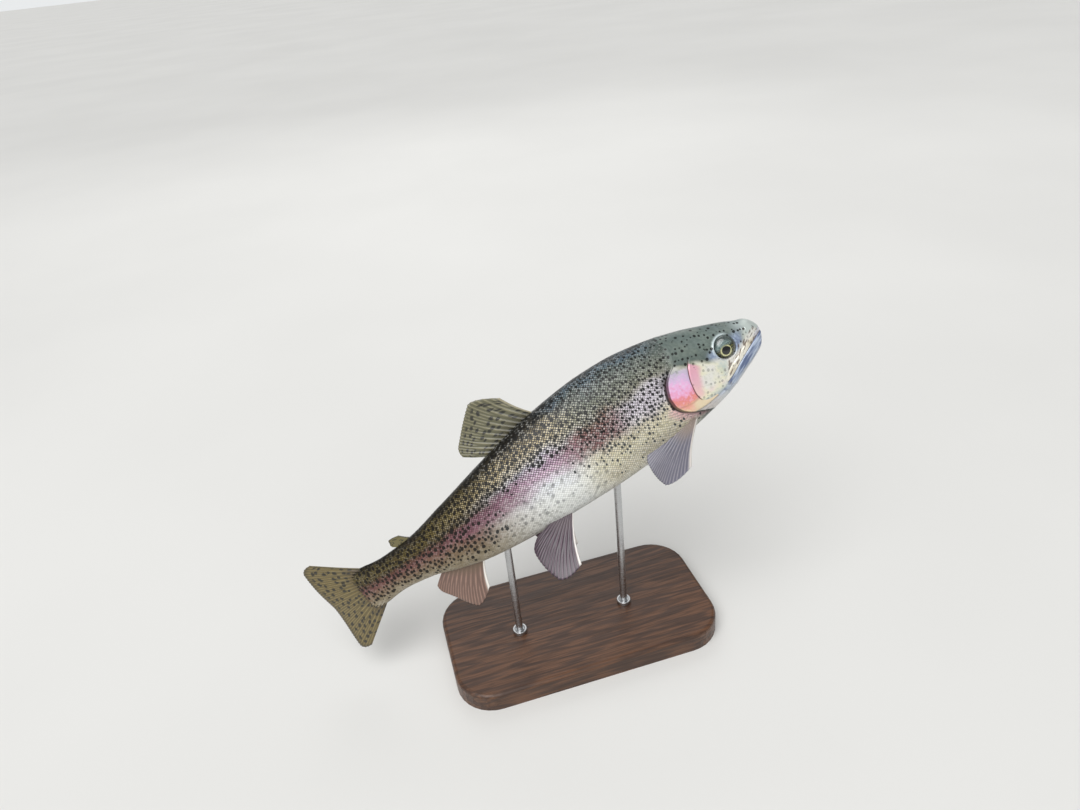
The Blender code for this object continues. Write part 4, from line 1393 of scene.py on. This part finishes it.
@dataclass
class Skin:
    """One closed skin over all the flesh, from the snout into the root of the tail fin."""

    body: Body
    head_rings: int = 228
    trunk_rings: int = 52
    sides: int = 320
    fold: tuple[Pair, ...] = (  # gill opening: millimetres behind its edge, and depth
        (-1.4, -0.05), (-0.7, -0.08), (-0.28, -0.03), (-0.06, 0.1), (0.0, 0.38), (-0.12, 0.72),
        (-0.7, 1.05), (-1.7, 1.75), (-1.5, 2.25), (-0.4, 2.38), (0.8, 2.3), (2.0, 2.1),
    )
    nodes: tuple[str, ...] = (
        "head", "lower_jaw", "throat", "maxilla_right", "maxilla_left", "gill_cover_right",
        "gill_cover_left", "trunk_front", "trunk_rear", "tail_stalk",
    )

    def slit_stations(self, angle: Array) -> Array:
        """Station of the gill opening at each angle round the body.

        Args:
            angle: angles round the body.

        Returns:
            The stations.
        """
        station = np.full(len(angle), 0.2)
        for _ in range(60):
            height = self.body.surface(station, angle)[:, 2] / LENGTH
            station += 0.4 * (GILL_SLIT(height) - station)
        return station

    def rails(self, angle: Array) -> tuple[Array, Array, Array]:
        """Rings of the skin.

        Args:
            angle: angle of each column.

        Returns:
            For each ring and column: the station, the depth inside the body's surface, and how
            much it lies in the fold of the gill opening, from 0 to 1, which is the strength of the painted
            shade there.
        """
        slit = self.slit_stations(angle)
        strength = slit_strength(self.body.surface(slit, angle)[:, 2] / LENGTH)
        tip = SNOUT_TIP[0]
        delta, depth = np.array(self.fold).T * MM
        flat = np.linspace(delta[0], delta[-1], len(delta))
        head_share = (np.arange(self.head_rings) / self.head_rings) ** 1.25
        head_end = slit + delta[0] / LENGTH
        head = tip + (head_end - tip) * head_share[:, None]
        moved = flat[:, None] * (1 - strength) + delta[:, None] * strength
        fold = slit + moved / LENGTH
        trunk_share = (np.arange(self.trunk_rings) + 1) / self.trunk_rings
        trunk_share = 0.45 * trunk_share + 0.55 * trunk_share**1.6
        trunk_start = slit + delta[-1] / LENGTH
        trunk = trunk_start + (FLESH_END - trunk_start) * trunk_share[:, None]
        trunk_deep = trunk_depth((trunk - slit) * LENGTH, strength)
        plain = trunk_depth(np.broadcast_to(flat[:, None], fold.shape), strength * 0)
        fold_deep = plain * (1 - strength) + depth[:, None] * strength
        # Painted shade deep in the gill opening's fold, with the dark red of the gill cavity.
        inside = (smooth_step(depth, 0.5 * MM, 1.1 * MM) * (np.arange(len(depth)) < len(depth) - 1))[:, None]
        stations = np.concatenate([head, fold, trunk])
        deep = np.concatenate([head * 0 + HEAD_DEPTH, fold_deep, trunk_deep])
        dark = np.concatenate([head * 0, inside * strength, trunk * 0])
        return stations, deep, dark

    def build(self) -> bpy.types.Object:
        """Wraps a grid round the body, with the relief of the head and the gill openings.

        Returns:
            The skin.
        """
        angle = np.linspace(-math.pi, math.pi, self.sides + 1)
        station, deep, dark = self.rails(angle)
        rings = len(station)
        piece = new_grid("trout_skin", self.sides, rings - 1)
        column, row = grid_places(piece, self.sides, rings - 1)
        s, a, deep, dark = station[row, column], angle[column], deep[row, column], dark[row, column]
        points = self.body.surface(s, a)
        out = self.body.frame_at(s, a)[2]
        out[row == 0] = (1.0, 0.0, 0.0)
        height = points[:, 2] / LENGTH
        behind = np.where(row < self.head_rings, np.minimum(behind_slit(s, height), -0.1 * MM), 1 * MM)
        head = Head(s, height, points[:, 1], behind)
        made = points + out * (head.relief() * (row > 0) - deep)[:, None]
        made[row == rings - 1, 1] = 0.0
        move_points(piece, self.body.carry(made))

        arc = self.body.arc(s, a)
        self.mark(piece.data, head, row, arc, dark)
        self.unwrap(piece.data, unwrap_place(self.body, s, arc))
        close_up(piece)
        return piece

    def mark(self, mesh: bpy.types.Mesh, head: Head, row: Array, arc: Array, dark: Array) -> None:
        """Stores what the finish reads at each vertex.

        Args:
            mesh: the skin's mesh.
            head: the vertices' places against the lines of the head.
            row: their rings.
            arc: their lengths round the body from the middle of the back.
            dark: how much they lie in the fold of the gill opening, as the strength of the painted shade
                there.
        """
        station, height, on_head = head.station, head.height, row < self.head_rings
        slit, strength = behind_slit(station, height), slit_strength(height)
        on_edge = ~on_head & (row < self.head_rings + 0.36 * len(self.fold))
        cover = np.where(on_edge, strength * (height > -0.078), head.cover())
        blush = np.maximum(head.blush(), breast_blush(slit, height) * (slit > 0) * ~on_head)
        # Painted shadow on the skin just behind the gill opening's edge.
        shade = 0.9 * smooth_step(slit, 1.7 * MM, 0.7 * MM) * ~on_head * strength
        lines = (line.kept() for line in (head.preopercle, head.mouth, head.cover_foot))
        store(mesh, "body", station, arc, height)
        store(mesh, "zone", zone_at(station, height))
        store(mesh, "plates", cover, head.face(), head.jaw())
        # The first of these marks is painted shade: in the head's hollows, in the gill opening's fold and
        # just behind it.
        store(mesh, "marks", np.maximum.reduce([head.cut(), dark, shade]), blush, head.lip())
        store(mesh, "lines", *(line * on_head for line in lines))
        store(mesh, "near", *(near * on_head for near in head.near()))

    @staticmethod
    def unwrap(mesh: bpy.types.Mesh, places: Array) -> None:
        """Gives a piece its own map, from a place for each vertex.

        Args:
            mesh: the mesh.
            places: the places, from 0 to 1 each way.
        """
        corners = np.empty(len(mesh.loops), dtype=int)
        mesh.loops.foreach_get("vertex_index", corners)
        while mesh.uv_layers:
            mesh.uv_layers.remove(mesh.uv_layers[0])
        mesh.uv_layers.new(name="OFBake").data.foreach_set("uv", places[corners].astype(np.float32).ravel())

    def dress(self, piece: bpy.types.Object) -> None:
        """Gives the skin its finish."""
        finish_piece(piece, "scaled_flank", SkinFinish().material("wet_skin"), *self.nodes)


class Flank(Enum):
    """The sides of the fish, with the sign of their angles round the body."""

    RIGHT = 1
    LEFT = -1


@dataclass
class ScaleCoat:
    """Overlapping scales in rows along the lateral line, joined into a few pieces."""

    body: Body
    pitch: float = 2.45 * MM  # from one scale to the next along the body
    row_pitch: float = 2.2 * MM
    tail_size: float = 0.74  # size of the scales at the tail, against those of the trunk
    overlap: float = 1.62  # length of a scale, in pitches
    parts: int = 4  # pieces of the coat on each side
    lift: float = 0.105  # slope at which a scale stands off the skin
    first_row: float = 0.16  # stations of the first and last rows
    last_row: float = 1.028
    patch: float = 0.003  # size of a scale on the unwrap
    seed: int = 11

    def size_at(self, station: Array) -> Array:
        """Size of the scales at a station, against those of the trunk."""
        shrink = smooth_step(station, 0.45, 1.0) * (1 - self.tail_size)
        near_head = 0.22 * (1 - smooth_step(station, 0.2, 0.3))
        return 1 - shrink - near_head

    def master(self) -> tuple[Array, Array]:
        """One scale, one wide and about one and a half long, its free end at +X.

        Returns:
            The points and the triangles.
        """
        piece = new_primitive(
            "scale_master", bpy.ops.mesh.primitive_circle_add, vertices=12, radius=1.0, fill_type="NGON"
        )
        bpy.ops.object.mode_set(mode="EDIT")
        bpy.ops.mesh.select_all(action="SELECT")
        bpy.ops.mesh.extrude_region_move(TRANSFORM_OT_translate={"value": (0, 0, 0.1)})
        bpy.ops.mesh.inset(thickness=0.34, depth=0.1)
        bpy.ops.mesh.poke(offset=0.05)
        bpy.ops.mesh.select_all(action="SELECT")
        bpy.ops.mesh.normals_make_consistent(inside=False)
        bpy.ops.mesh.quads_convert_to_tris()
        bpy.ops.object.mode_set(mode="OBJECT")
        mesh = piece.data
        points = np.array([v.co for v in mesh.vertices])
        faces = np.array([tuple(f.vertices) for f in mesh.polygons if len(f.vertices) == 3])
        bpy.data.objects.remove(piece)
        return points, faces

    def places(self, flank: Flank) -> tuple[Array, Array]:
        """Roots of the scales of one side, in rows that are staggered by half a step.

        Args:
            flank: which side.

        Returns:
            The stations, and the lengths round the body from the middle of the back.
        """
        found: list[Pair] = []
        station, index = self.first_row, 0
        while station < self.last_row:
            size = float(self.size_at(np.array(station)))
            start = np.array([station])
            middle = float(self.body.arc(start, self.body.side_angle(start, LATERAL_LINE(start)))[0])
            step = self.row_pitch * size
            girth = float(self.body.girth(start)[0])
            arcs = -middle + (np.arange(-60, 60) + 0.5 * (index % 2)) * step
            arcs = arcs[(arcs > 0.42 * step) & (arcs < girth - 0.42 * step)]
            if index % 2 == 0:
                arcs = np.concatenate([arcs, [0.0, girth]])
            found += [(station, arc) for arc in arcs]
            station += self.pitch * size * 0.5 / LENGTH
            index += 1
        places = np.array(found)
        angle = self.body.angle_at(places[:, 0], places[:, 1])
        height = self.body.surface(places[:, 0], angle)[:, 2] / LENGTH
        keep = behind_slit(places[:, 0], height) > (1.0 + 2.4 * slit_strength(height)) * MM
        if flank is Flank.LEFT:
            keep &= (places[:, 1] > 0) & (places[:, 1] < self.body.girth(places[:, 0]) - 1e-6)
        return places[keep, 0], places[keep, 1]

    def build(self) -> list[bpy.types.Object]:
        """Copies the scale to every place, and joins the copies piece by piece.

        Returns:
            The pieces.
        """
        random = np.random.default_rng(self.seed)
        points, faces = self.master()
        pieces = []
        for flank in Flank:
            station, arc = self.places(flank)
            for index, chosen in enumerate(np.array_split(np.arange(len(station)), self.parts), 1):
                name = f"scales_{flank.name.lower()}_{index}"
                pieces.append(self.lay(name, flank, station[chosen], arc[chosen], points, faces, random))
        return pieces

    def lay(
        self, name: str, flank: Flank, station: Array, arc: Array, points: Array, faces: Array,
        random: np.random.Generator,
    ) -> bpy.types.Object:
        """Lays scales at their places.

        Args:
            name: the piece's name.
            flank: which side.
            station: the scales' stations.
            arc: their lengths round the body from the middle of the back.
            points: points of one scale.
            faces: its triangles.
            random: source of the small differences between scales.

        Returns:
            The joined piece.
        """
        count, per = len(station), len(points)
        angle = self.body.angle_at(station, arc) * flank.value
        root = self.body.surface(station, angle)
        rear, across, out = self.body.frame_at(station, angle)
        height = root[:, 2] / LENGTH
        slit, strength = behind_slit(station, height), slit_strength(height)
        depth = trunk_depth(slit, strength)
        slope = (depth - trunk_depth(slit + 2 * MM, strength)) / (2 * MM)
        size = self.size_at(station) * random.uniform(0.94, 1.06, count)
        long = self.pitch * self.overlap * size / 2
        wide = self.row_pitch * 0.6 * size * random.uniform(0.95, 1.05, count)
        twist = random.normal(0.0, 0.05, count)[:, None]
        lift = self.lift + slope + random.normal(0.0, 0.018, count)
        px, py, pz = points.T
        x, y = px * (1 + 0.1 * px) * long[:, None], py * (1 - 0.12 * px) * wide[:, None]
        z = (pz * 0.558 - py**2 * 0.1) * MM * size[:, None] + x * lift[:, None] - 0.1 * MM
        x, y = x - y * twist, y + x * twist
        base = root - out * (depth - 0.02 * MM)[:, None]
        laid = base[:, None] + np.stack([x, y, z], axis=-1) @ np.stack([rear, across, out], axis=1)
        every = faces + np.arange(count)[:, None, None] * per
        piece = new_triangles(name, self.body.carry(laid.reshape(-1, 3)), every.reshape(-1, 3))

        mesh = piece.data
        at_station = station[:, None] + x / LENGTH
        girth = self.body.girth(station)[:, None]
        at_arc = np.clip(-flank.value * arc[:, None] - y, -girth, girth)
        at_height = laid[..., 2] / LENGTH
        blush = np.repeat(breast_blush(slit, height), per)
        store(mesh, "body", at_station, at_arc, at_height)
        store(mesh, "zone", np.clip(zone_at(at_station, at_height), -1, 1))
        store(mesh, "tone", np.repeat(random.uniform(0.0, 1.0, count) ** 1.6, per))
        store(mesh, "scale_place", *np.tile([px, py, np.ones(per)], count))
        # The scales carry no painted shade, only the blush.
        store(mesh, "marks", blush * 0, blush, blush * 0)
        places = unwrap_place(self.body, station, -flank.value * arc)
        Skin.unwrap(mesh, (places[:, None] + points[:, :2] * self.patch / 2).reshape(-1, 2))
        return piece

    def dress(self, pieces: Sequence[bpy.types.Object]) -> None:
        """Gives the scales their finish."""
        material = SkinFinish(coat=0.12, coat_rough=0.16).material("scale_coat")
        for piece in pieces:
            finish_piece(piece, "scaled_flank", material)


def fin_length(front: float, full: float, back: float, corner: float = 0.16) -> Callable[[Array], Array]:
    """Ray length across a fin: a round rise to the full length, then a fall to the round back corner.

    Args:
        front: length of the first ray, in standard lengths.
        full: the longest ray's.
        back: the last ray's.
        corner: share of the way across at which the longest ray stands.

    Returns:
        Length of a ray, for its share of the way across.
    """

    def length(share: Array) -> Array:
        """Length of the ray at a share of the way across."""
        rise = np.sin(np.clip(share / corner, 0, 1) * math.pi / 2)
        fall = np.clip((share - corner) / (1 - corner), 0, 1)
        turn = np.clip((share - 0.82) / 0.18, 0, 1)
        return front + (full - front) * rise + (back - full) * fall - 0.2 * back * turn**2

    return length


@dataclass
class Fin:
    """A thin closed blade with ridged rays, a scalloped rim and a slight wave."""

    body: Body
    name: str
    rays: int
    thick: Pair  # millimetres at the root and at the rim
    finish: FinFinish
    slot: str = "plain_fin"
    per_ray: int = 12
    steps: int = 44
    wave: float = 0.8 * MM
    wave_turns: float = 1.4
    curl: float = 0.05  # how far the rays sag backwards, in ray lengths
    rim: float = 0.9  # share of a ray beyond which the web is scalloped
    soft: float = 0.0  # 1 for a fleshy fin without rays

    def root(self, share: Array) -> Array:
        """Straight points at the fin's root, one for each share across the fin."""
        raise NotImplementedError

    def tip(self, share: Array) -> Array:
        """Straight points at the fin's tip."""
        raise NotImplementedError

    def normal(self) -> Array:
        """Direction across the blade."""
        return np.array((0.0, 1.0, 0.0))

    def ridges(self, share: Array, out: Array) -> Array:
        """How high the rays stand; towards the rim each one is split in two.

        Args:
            share: shares of the way across the fin.
            out: shares of the way from the root to the rim.

        Returns:
            1 on a ray, 0 on the web between.
        """
        phase, branch = share * (self.rays - 1), smooth_step(out, 0.42, 0.7)
        main, split = np.cos(math.pi * phase) ** 4, np.cos(math.tau * phase) ** 4
        return (main * (1 - branch) + split * branch) * (1 - self.soft)

    def half_thickness(self, share: Array, out: Array, ridge: Array) -> Array:
        """Half the blade's thickness, which closes roundly at all its edges.

        Args:
            share: shares of the way across the fin.
            out: shares of the way from the root to the rim.
            ridge: how high the rays stand.

        Returns:
            The thickness, in metres.
        """
        root_half, tip_half = (thick * MM / 2 for thick in self.thick)
        half = root_half + (tip_half - root_half) * out**0.8
        half = half * (0.62 + 0.38 * ridge) + 0.1 * MM * ridge * (1 - out)
        half *= round_rise(share / 0.035) * round_rise((1 - share) / 0.03)
        return half * np.sqrt(1 - (2 * np.clip(out, 0.5, 1.0) - 1) ** 14) * np.clip(out / 0.03, 0, 1) ** 0.5

    def build(self) -> bpy.types.Object:
        """Wraps a grid into a closed sleeve with the rays' relief.

        Returns:
            The fin.
        """
        columns, rows = self.rays * self.per_ray, 2 * self.steps
        piece = new_grid(self.name, columns, rows)
        column, row = grid_places(piece, columns, rows)
        share = column / columns
        fold = row / self.steps
        face = np.where(fold <= 1, 1.0, -1.0)
        out = 1 - np.abs(1 - fold)
        ridge = self.ridges(share, out)
        start, end = self.root(share), self.tip(share)
        way = end - start
        scallop = 1 - 0.009 * (1 - ridge) * (1 - self.soft)
        points = start + way * (out * np.where(out > self.rim, scallop, 1.0))[:, None]
        points[:, 0] -= np.linalg.norm(way, axis=1) * self.curl * np.sin(math.pi * out)
        waving = self.wave * np.sin(math.tau * self.wave_turns * share + 2.2 * out) * out**1.6
        points += self.normal() * (self.half_thickness(share, out, ridge) * face + waving)[:, None]
        move_points(piece, self.body.carry(points))
        store(piece.data, "fin", share, out, ridge)
        close_up(piece)
        return piece

    def dress(self, piece: bpy.types.Object) -> None:
        """Gives the fin its finish."""
        finish_piece(piece, self.slot, self.finish.material(f"{self.name}_finish", self.rays), self.name)


@dataclass
class MedianFin(Fin):
    """Fin in the middle plane, on the back or under the belly."""

    base: Pair = (0.0, 0.0)
    angles: Pair = (0.0, 0.0)
    length: Callable[[Array], Array] = fin_length(0.1, 0.1, 0.1)
    up: int = 1
    bury: float = 0.014

    def root(self, share: Array) -> Array:
        """Root points, a little inside the body."""
        station = self.base[0] + (self.base[1] - self.base[0]) * share
        line = (BACK if self.up > 0 else BELLY)(station)
        return straight_at(station, line - self.up * self.bury)

    def tip(self, share: Array) -> Array:
        """Tip points."""
        angle = np.radians(self.angles[0] + (self.angles[1] - self.angles[0]) * share)
        way = np.stack([-np.cos(angle), 0 * angle, self.up * np.sin(angle)], axis=-1)
        return self.root(share) + way * ((self.length(share) + self.bury) * LENGTH)[:, None]


@dataclass
class TailFin(Fin):
    """Tail fin: rays fan out from the end of the spine, longest at the two lobes."""

    root_half: float = 0.045
    root_station: float = 0.992
    fan: float = math.radians(32)
    middle: float = 0.124
    lobe: float = 0.166

    def root(self, share: Array) -> Array:
        """Root points in the end of the tail stalk."""
        side = 1 - 2 * share
        return straight_at(self.root_station + 0.01 * (1 - side * side), self.root_half * side)

    def tip(self, share: Array) -> Array:
        """Tip points along the forked rim.

        Args:
            share: shares of the way across the fin.

        Returns:
            The points.
        """
        side = 1 - 2 * share
        angle = self.fan * signed_power(side, 0.92)
        reach = self.middle + (self.lobe - self.middle) * np.abs(side) ** 1.5
        reach -= 0.034 * np.maximum(0.0, (np.abs(side) - 0.78) / 0.22) ** 2
        way = np.stack([-np.cos(angle), 0 * angle, np.sin(angle)], axis=-1)
        return self.root(share) + way * (reach * LENGTH)[:, None]


@dataclass
class PairedFin(Fin):
    """Fin of a pair, low on one side of the body."""

    flank: Flank = Flank.RIGHT
    place: tuple[float, float, float, float] = (0.0, 0.0, 0.0, 0.0)  # station, height, across, width
    back: Three = (0.0, 0.0, 0.0)  # way of the first ray, on the left side
    opening: Three = (0.0, 0.0, 0.0)  # way in which the fin opens
    spread: float = 45.0
    length: Callable[[Array], Array] = fin_length(0.1, 0.1, 0.1)

    def ways(self) -> tuple[Array, Array, Array]:
        """Unit vectors along the first ray, across the fin, and out of its face.

        Returns:
            The three vectors.
        """
        mirror = (1, -self.flank.value, 1)
        back, opening = unit(np.multiply(self.back, mirror)), np.multiply(self.opening, mirror)
        opening = unit(opening - back * (opening @ back))
        return back, opening, unit(np.cross(back, opening))

    def normal(self) -> Array:
        """Direction out of the fin's face."""
        return self.ways()[2]

    def root(self, share: Array) -> Array:
        """Root points in the body's side."""
        station, height, across, width = self.place
        origin = straight_at(station, height, -self.flank.value * across * LENGTH)
        return origin + self.ways()[1] * (width * LENGTH * (share - 0.5))[:, None]

    def tip(self, share: Array) -> Array:
        """Tip points of the fanned rays.

        Args:
            share: shares of the way across the fin.

        Returns:
            The points.
        """
        back, opening, normal = self.ways()
        angle = np.radians(self.spread) * share
        way = back * np.cos(angle)[:, None] + opening * np.sin(angle)[:, None]
        reach = (self.length(share) * LENGTH)[:, None]
        camber = normal * 0.06 * reach * np.sin(math.pi * share)[:, None]
        return self.root(share) + way * reach + camber


def trout_fins(body: Body) -> list[Fin]:
    """All the fins, each with its shape and with the colours of its web, rays, base and leading edge.

    Args:
        body: the body that carries them.

    Returns:
        The fins.
    """
    back = FinFinish((92, 90, 68), (128, 122, 94), (70, 66, 46), (150, 142, 116), spots=0.84, edge_width=0.03)
    tail = FinFinish(
        (94, 82, 48), (128, 112, 70), (76, 62, 36), (92, 82, 52), spots=0.8, dark_rim=0.55, edge_width=0.02
    )
    fleshy = FinFinish((104, 96, 58), (112, 104, 62), (98, 88, 48), (44, 40, 26), spots=0.5, dark_rim=0.85)
    under = FinFinish((104, 80, 70), (146, 116, 102), (104, 84, 66), (232, 228, 220))
    # The pelvic fins' own dusky purple, darkened further by painted shade.
    belly = FinFinish((56, 42, 53), (94, 74, 86), (92, 80, 86), (226, 220, 214))
    breast = FinFinish((98, 98, 112), (142, 138, 146), (142, 130, 122), (200, 194, 188))
    fins: list[Fin] = [
        MedianFin(
            body, "dorsal_fin", 12, (2.6, 0.7), back, "spotted_fin", base=(0.468, 0.595),
            angles=(58, 34), length=fin_length(0.074, 0.118, 0.066, 0.22),
        ),
        MedianFin(
            body, "adipose_fin", 6, (2.8, 1.0), fleshy, "spotted_fin", soft=1.0, wave=0.2 * MM,
            base=(0.838, 0.868), angles=(38, 26), length=fin_length(0.03, 0.044, 0.026, 0.45),
        ),
        MedianFin(
            body, "anal_fin", 11, (2.4, 0.7), under, base=(0.742, 0.832), angles=(62, 34),
            length=fin_length(0.062, 0.1, 0.044, 0.22), up=-1,
        ),
        TailFin(body, "caudal_fin", 21, (2.6, 0.7), tail, "spotted_fin", curl=0.0),
    ]
    for flank in Flank:
        side = flank.name.lower()
        fins += [
            PairedFin(
                body, f"pectoral_fin_{side}", 12, (3.0, 0.7), breast, flank=flank,
                place=(0.226, -0.086, 0.033, 0.032), back=(-0.64, 0.66, -0.4), opening=(-0.8, -0.5, 0.3),
                spread=44, length=fin_length(0.12, 0.16, 0.104, 0.32),
            ),
            PairedFin(
                body, f"pelvic_fin_{side}", 10, (2.6, 0.7), belly, flank=flank,
                place=(0.545, -0.096, 0.019, 0.03), back=(-0.42, 0.42, -0.86), opening=(-0.85, 0.1, 0.2),
                spread=52, length=fin_length(0.108, 0.138, 0.082, 0.32),
            ),
        ]
    return fins


@dataclass
class Eye:
    """Eyeball with a full, flat-fronted curve, set in the cheek."""

    body: Body
    flank: Flank
    fullness: float = 2.6  # 2 is an ellipsoid; more fills out towards the rim

    @property
    def name(self) -> str:
        """Name of the piece and of the CAD node."""
        return f"eye_{self.flank.name.lower()}"

    def build(self) -> bpy.types.Object:
        """Shapes a ball into the eye.

        Returns:
            The eyeball.
        """
        piece = new_primitive(
            f"{self.name}_ball", bpy.ops.mesh.primitive_uv_sphere_add, segments=64, ring_count=40, radius=1.0
        )
        x, y, z = old_points(piece).T
        power, turn = 2 / self.fullness, np.arctan2(y, x)
        wide = EYE_RADIUS * np.hypot(x, y) ** power
        proud = EYE_BULGE * signed_power(z, power)
        side = -self.flank.value
        cheek = abs(float(self.body.surface(np.array(EYE_STATION), np.array(math.pi / 2))[1]))
        centre = straight_at(EYE_STATION, EYE_HEIGHT, side * (cheek + EYE_PROUD - EYE_BULGE))
        forward, up = wide * np.cos(turn), wide * np.sin(turn)
        points = centre + np.stack([forward, side * proud, up], axis=-1)
        move_points(piece, self.body.carry(points))
        store(piece.data, "gaze", forward / MM, up / MM, proud / MM)
        close_up(piece, 1e-7)
        return piece

    def dress(self, piece: bpy.types.Object) -> None:
        """Gives the eye its finish."""
        finish_piece(piece, "eye", EyeFinish().material(f"{self.name}_finish"), self.name)


@dataclass
class Stand:
    """Walnut base and two steel rods of the CAD, with a turned collar at each rod's foot."""

    collar_radius: float = 5.6 * MM
    collar_height: float = 3.4 * MM
    collar_bevel: float = 0.45 * MM
    rods: tuple[str, str] = ("stand_rod_front", "stand_rod_rear")

    def build(self) -> list[bpy.types.Object]:
        """Turns one collar and copies it to the other rod.

        Returns:
            The collars.
        """
        base_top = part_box("stand_base")[1].z
        foot = self.rod_foot(self.rods[0])
        first = new_primitive(
            "stand_collar_front", bpy.ops.mesh.primitive_cylinder_add, vertices=48, radius=self.collar_radius,
            depth=self.collar_height, location=(foot.x, foot.y, base_top + self.collar_height / 2),
        )
        bpy.ops.object.transform_apply(location=True, rotation=True, scale=True)
        bpy.ops.object.mode_set(mode="EDIT")
        bpy.ops.mesh.select_mode(type="FACE")
        bpy.ops.mesh.select_all(action="DESELECT")
        bpy.ops.object.mode_set(mode="OBJECT")
        for face in first.data.polygons:
            face.select = face.normal.z > 0.9
        bpy.ops.object.mode_set(mode="EDIT")
        bpy.ops.mesh.inset(thickness=1.5 * MM, depth=0.0)
        bpy.ops.mesh.inset(thickness=0.5 * MM, depth=-0.5 * MM)
        bpy.ops.object.mode_set(mode="OBJECT")
        bevel = first.modifiers.new("Bevel", "BEVEL")
        bevel.width = self.collar_bevel
        bevel.segments = 3
        bevel.limit_method = "ANGLE"
        bpy.ops.object.modifier_apply(modifier="Bevel")
        bpy.ops.object.shade_smooth_by_angle(angle=math.radians(40))

        second = hang("stand_collar_rear", first.data.copy())
        second.data.name = second.name
        second.data.transform(Matrix.Translation(self.rod_foot(self.rods[1]) - foot))
        return [first, second]

    @staticmethod
    def rod_foot(name: str) -> Vector:
        """Middle of a rod, in X and Y."""
        low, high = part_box(name)
        return Vector(((low.x + high.x) / 2, (low.y + high.y) / 2, 0.0))

    def dress(self, collars: Sequence[bpy.types.Object]) -> None:
        """Gives the stand its finishes."""
        wood, steel = WoodFinish().material("oiled_walnut"), SteelFinish().material("brushed_steel")
        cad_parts["stand_base"].material_slots[0].material = wood
        for rod in self.rods:
            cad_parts[rod].material_slots[0].material = steel
        for collar in collars:
            finish_piece(collar, "rod_steel", steel)


@dataclass
class Studio:
    """Pale floor, soft lights and the camera."""

    body: Body
    lens: float = 26.0
    sensor: float = 36.0
    camera_place: Three = (0.0509, -0.5491, 0.117)  # in the fish's own frame
    camera_turn: Three = (80.22, 35.98, -2.07)  # degrees, in the same frame
    floor_size: float = 80.0
    sun_from: Three = (-0.28, 0.42, 0.86)  # right, up and back from the camera
    sun_strength: float = 2.3
    sun_spread: float = 58.0  # degrees
    lamps: tuple[tuple[str, Three, float, float], ...] = (  # name, place, size and power
        ("key_light", (-0.9, -0.9, 1.9), 1.0, 6.0),
        ("back_light", (0.2, 1.8, 1.5), 1.6, 7.0),
    )

    def build(self) -> None:
        """Lays the floor, hangs the lights and sets the camera."""
        floor = new_primitive("studio_floor", bpy.ops.mesh.primitive_plane_add, size=self.floor_size)
        floor.data.materials.append(FloorFinish().material("studio_floor_finish"))
        for name, place, size, power in self.lamps:
            self.lamp(name, Vector(place), size, power)
        self.air()
        bpy.context.scene.view_settings.view_transform = "Standard"
        self.camera()
        self.sun()

    def air(self) -> None:
        """Surrounds the studio with soft light: as bright as the floor at the horizon, dimmer above."""
        world = bpy.data.worlds.new("studio_air")
        world.use_nodes = True
        tree = world.node_tree
        place = tree.nodes.new("ShaderNodeTexCoord").outputs["Generated"]
        split = tree.nodes.new("ShaderNodeSeparateXYZ")
        tree.links.new(place, split.inputs[0])
        ramp = tree.nodes.new("ShaderNodeValToRGB")
        ramp.color_ramp.interpolation = "EASE"
        for at in (0.06, 0.22):
            ramp.color_ramp.elements.new(at)
        tones = ((0.0, 0.84), (0.06, 0.78), (0.22, 0.3), (1.0, 0.48))  # height in the sky, and brightness
        for element, (at, tone) in zip(ramp.color_ramp.elements, tones):
            element.position, element.color = at, (tone * 0.97, tone * 0.99, tone, 1.0)
        tree.links.new(split.outputs[2], ramp.inputs[0])
        tree.links.new(ramp.outputs[0], tree.nodes["Background"].inputs["Color"])
        bpy.context.scene.world = world

    def sun(self) -> None:
        """Lights fish and floor evenly from over the viewer's left shoulder."""
        light = bpy.data.lights.new("sun_light", "SUN")
        light.energy, light.angle = self.sun_strength, math.radians(self.sun_spread)
        hung = hang("sun_light", light)
        turn = bpy.context.scene.camera.matrix_world.to_3x3()
        hung.rotation_euler = (turn @ -Vector(self.sun_from)).to_track_quat("-Z", "Y").to_euler()

    def lamp(self, name: str, place: Vector, size: float, power: float) -> None:
        """Hangs one square soft light that faces the fish.

        Args:
            name: the light's name.
            place: where it hangs.
            size: its side, in metres.
            power: its power, in watts.
        """
        light = bpy.data.lights.new(name, "AREA")
        light.shape = "SQUARE"
        light.size, light.energy = size, power
        hung = hang(name, light)
        hung.location = place
        hung.rotation_euler = (self.body.pose.translation - place).to_track_quat("-Z", "Y").to_euler()

    def camera(self) -> None:
        """Sets the camera that frames the fish, from over its right flank."""
        data = bpy.data.cameras.new("camera")
        data.lens, data.sensor_width = self.lens, self.sensor
        data.clip_start, data.clip_end = 0.01, 50.0
        camera = hang("camera", data)
        turn = Euler([math.radians(a) for a in self.camera_turn]).to_matrix().to_4x4()
        camera.matrix_world = self.body.pose @ Matrix.Translation(self.camera_place) @ turn
        bpy.context.scene.camera = camera


def main() -> None:
    """Builds and dresses every piece."""
    logging.basicConfig(level=logging.INFO, format="%(name)s: %(message)s")
    body = Body()
    skin = Skin(body)
    skin.dress(skin.build())
    coat = ScaleCoat(body)
    coat.dress(coat.build())
    for part in [*trout_fins(body), *(Eye(body, flank) for flank in Flank)]:
        part.dress(part.build())
    stand = Stand()
    stand.dress(stand.build())
    Studio(body).build()
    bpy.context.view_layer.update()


if __name__ == "__main__":
    main()
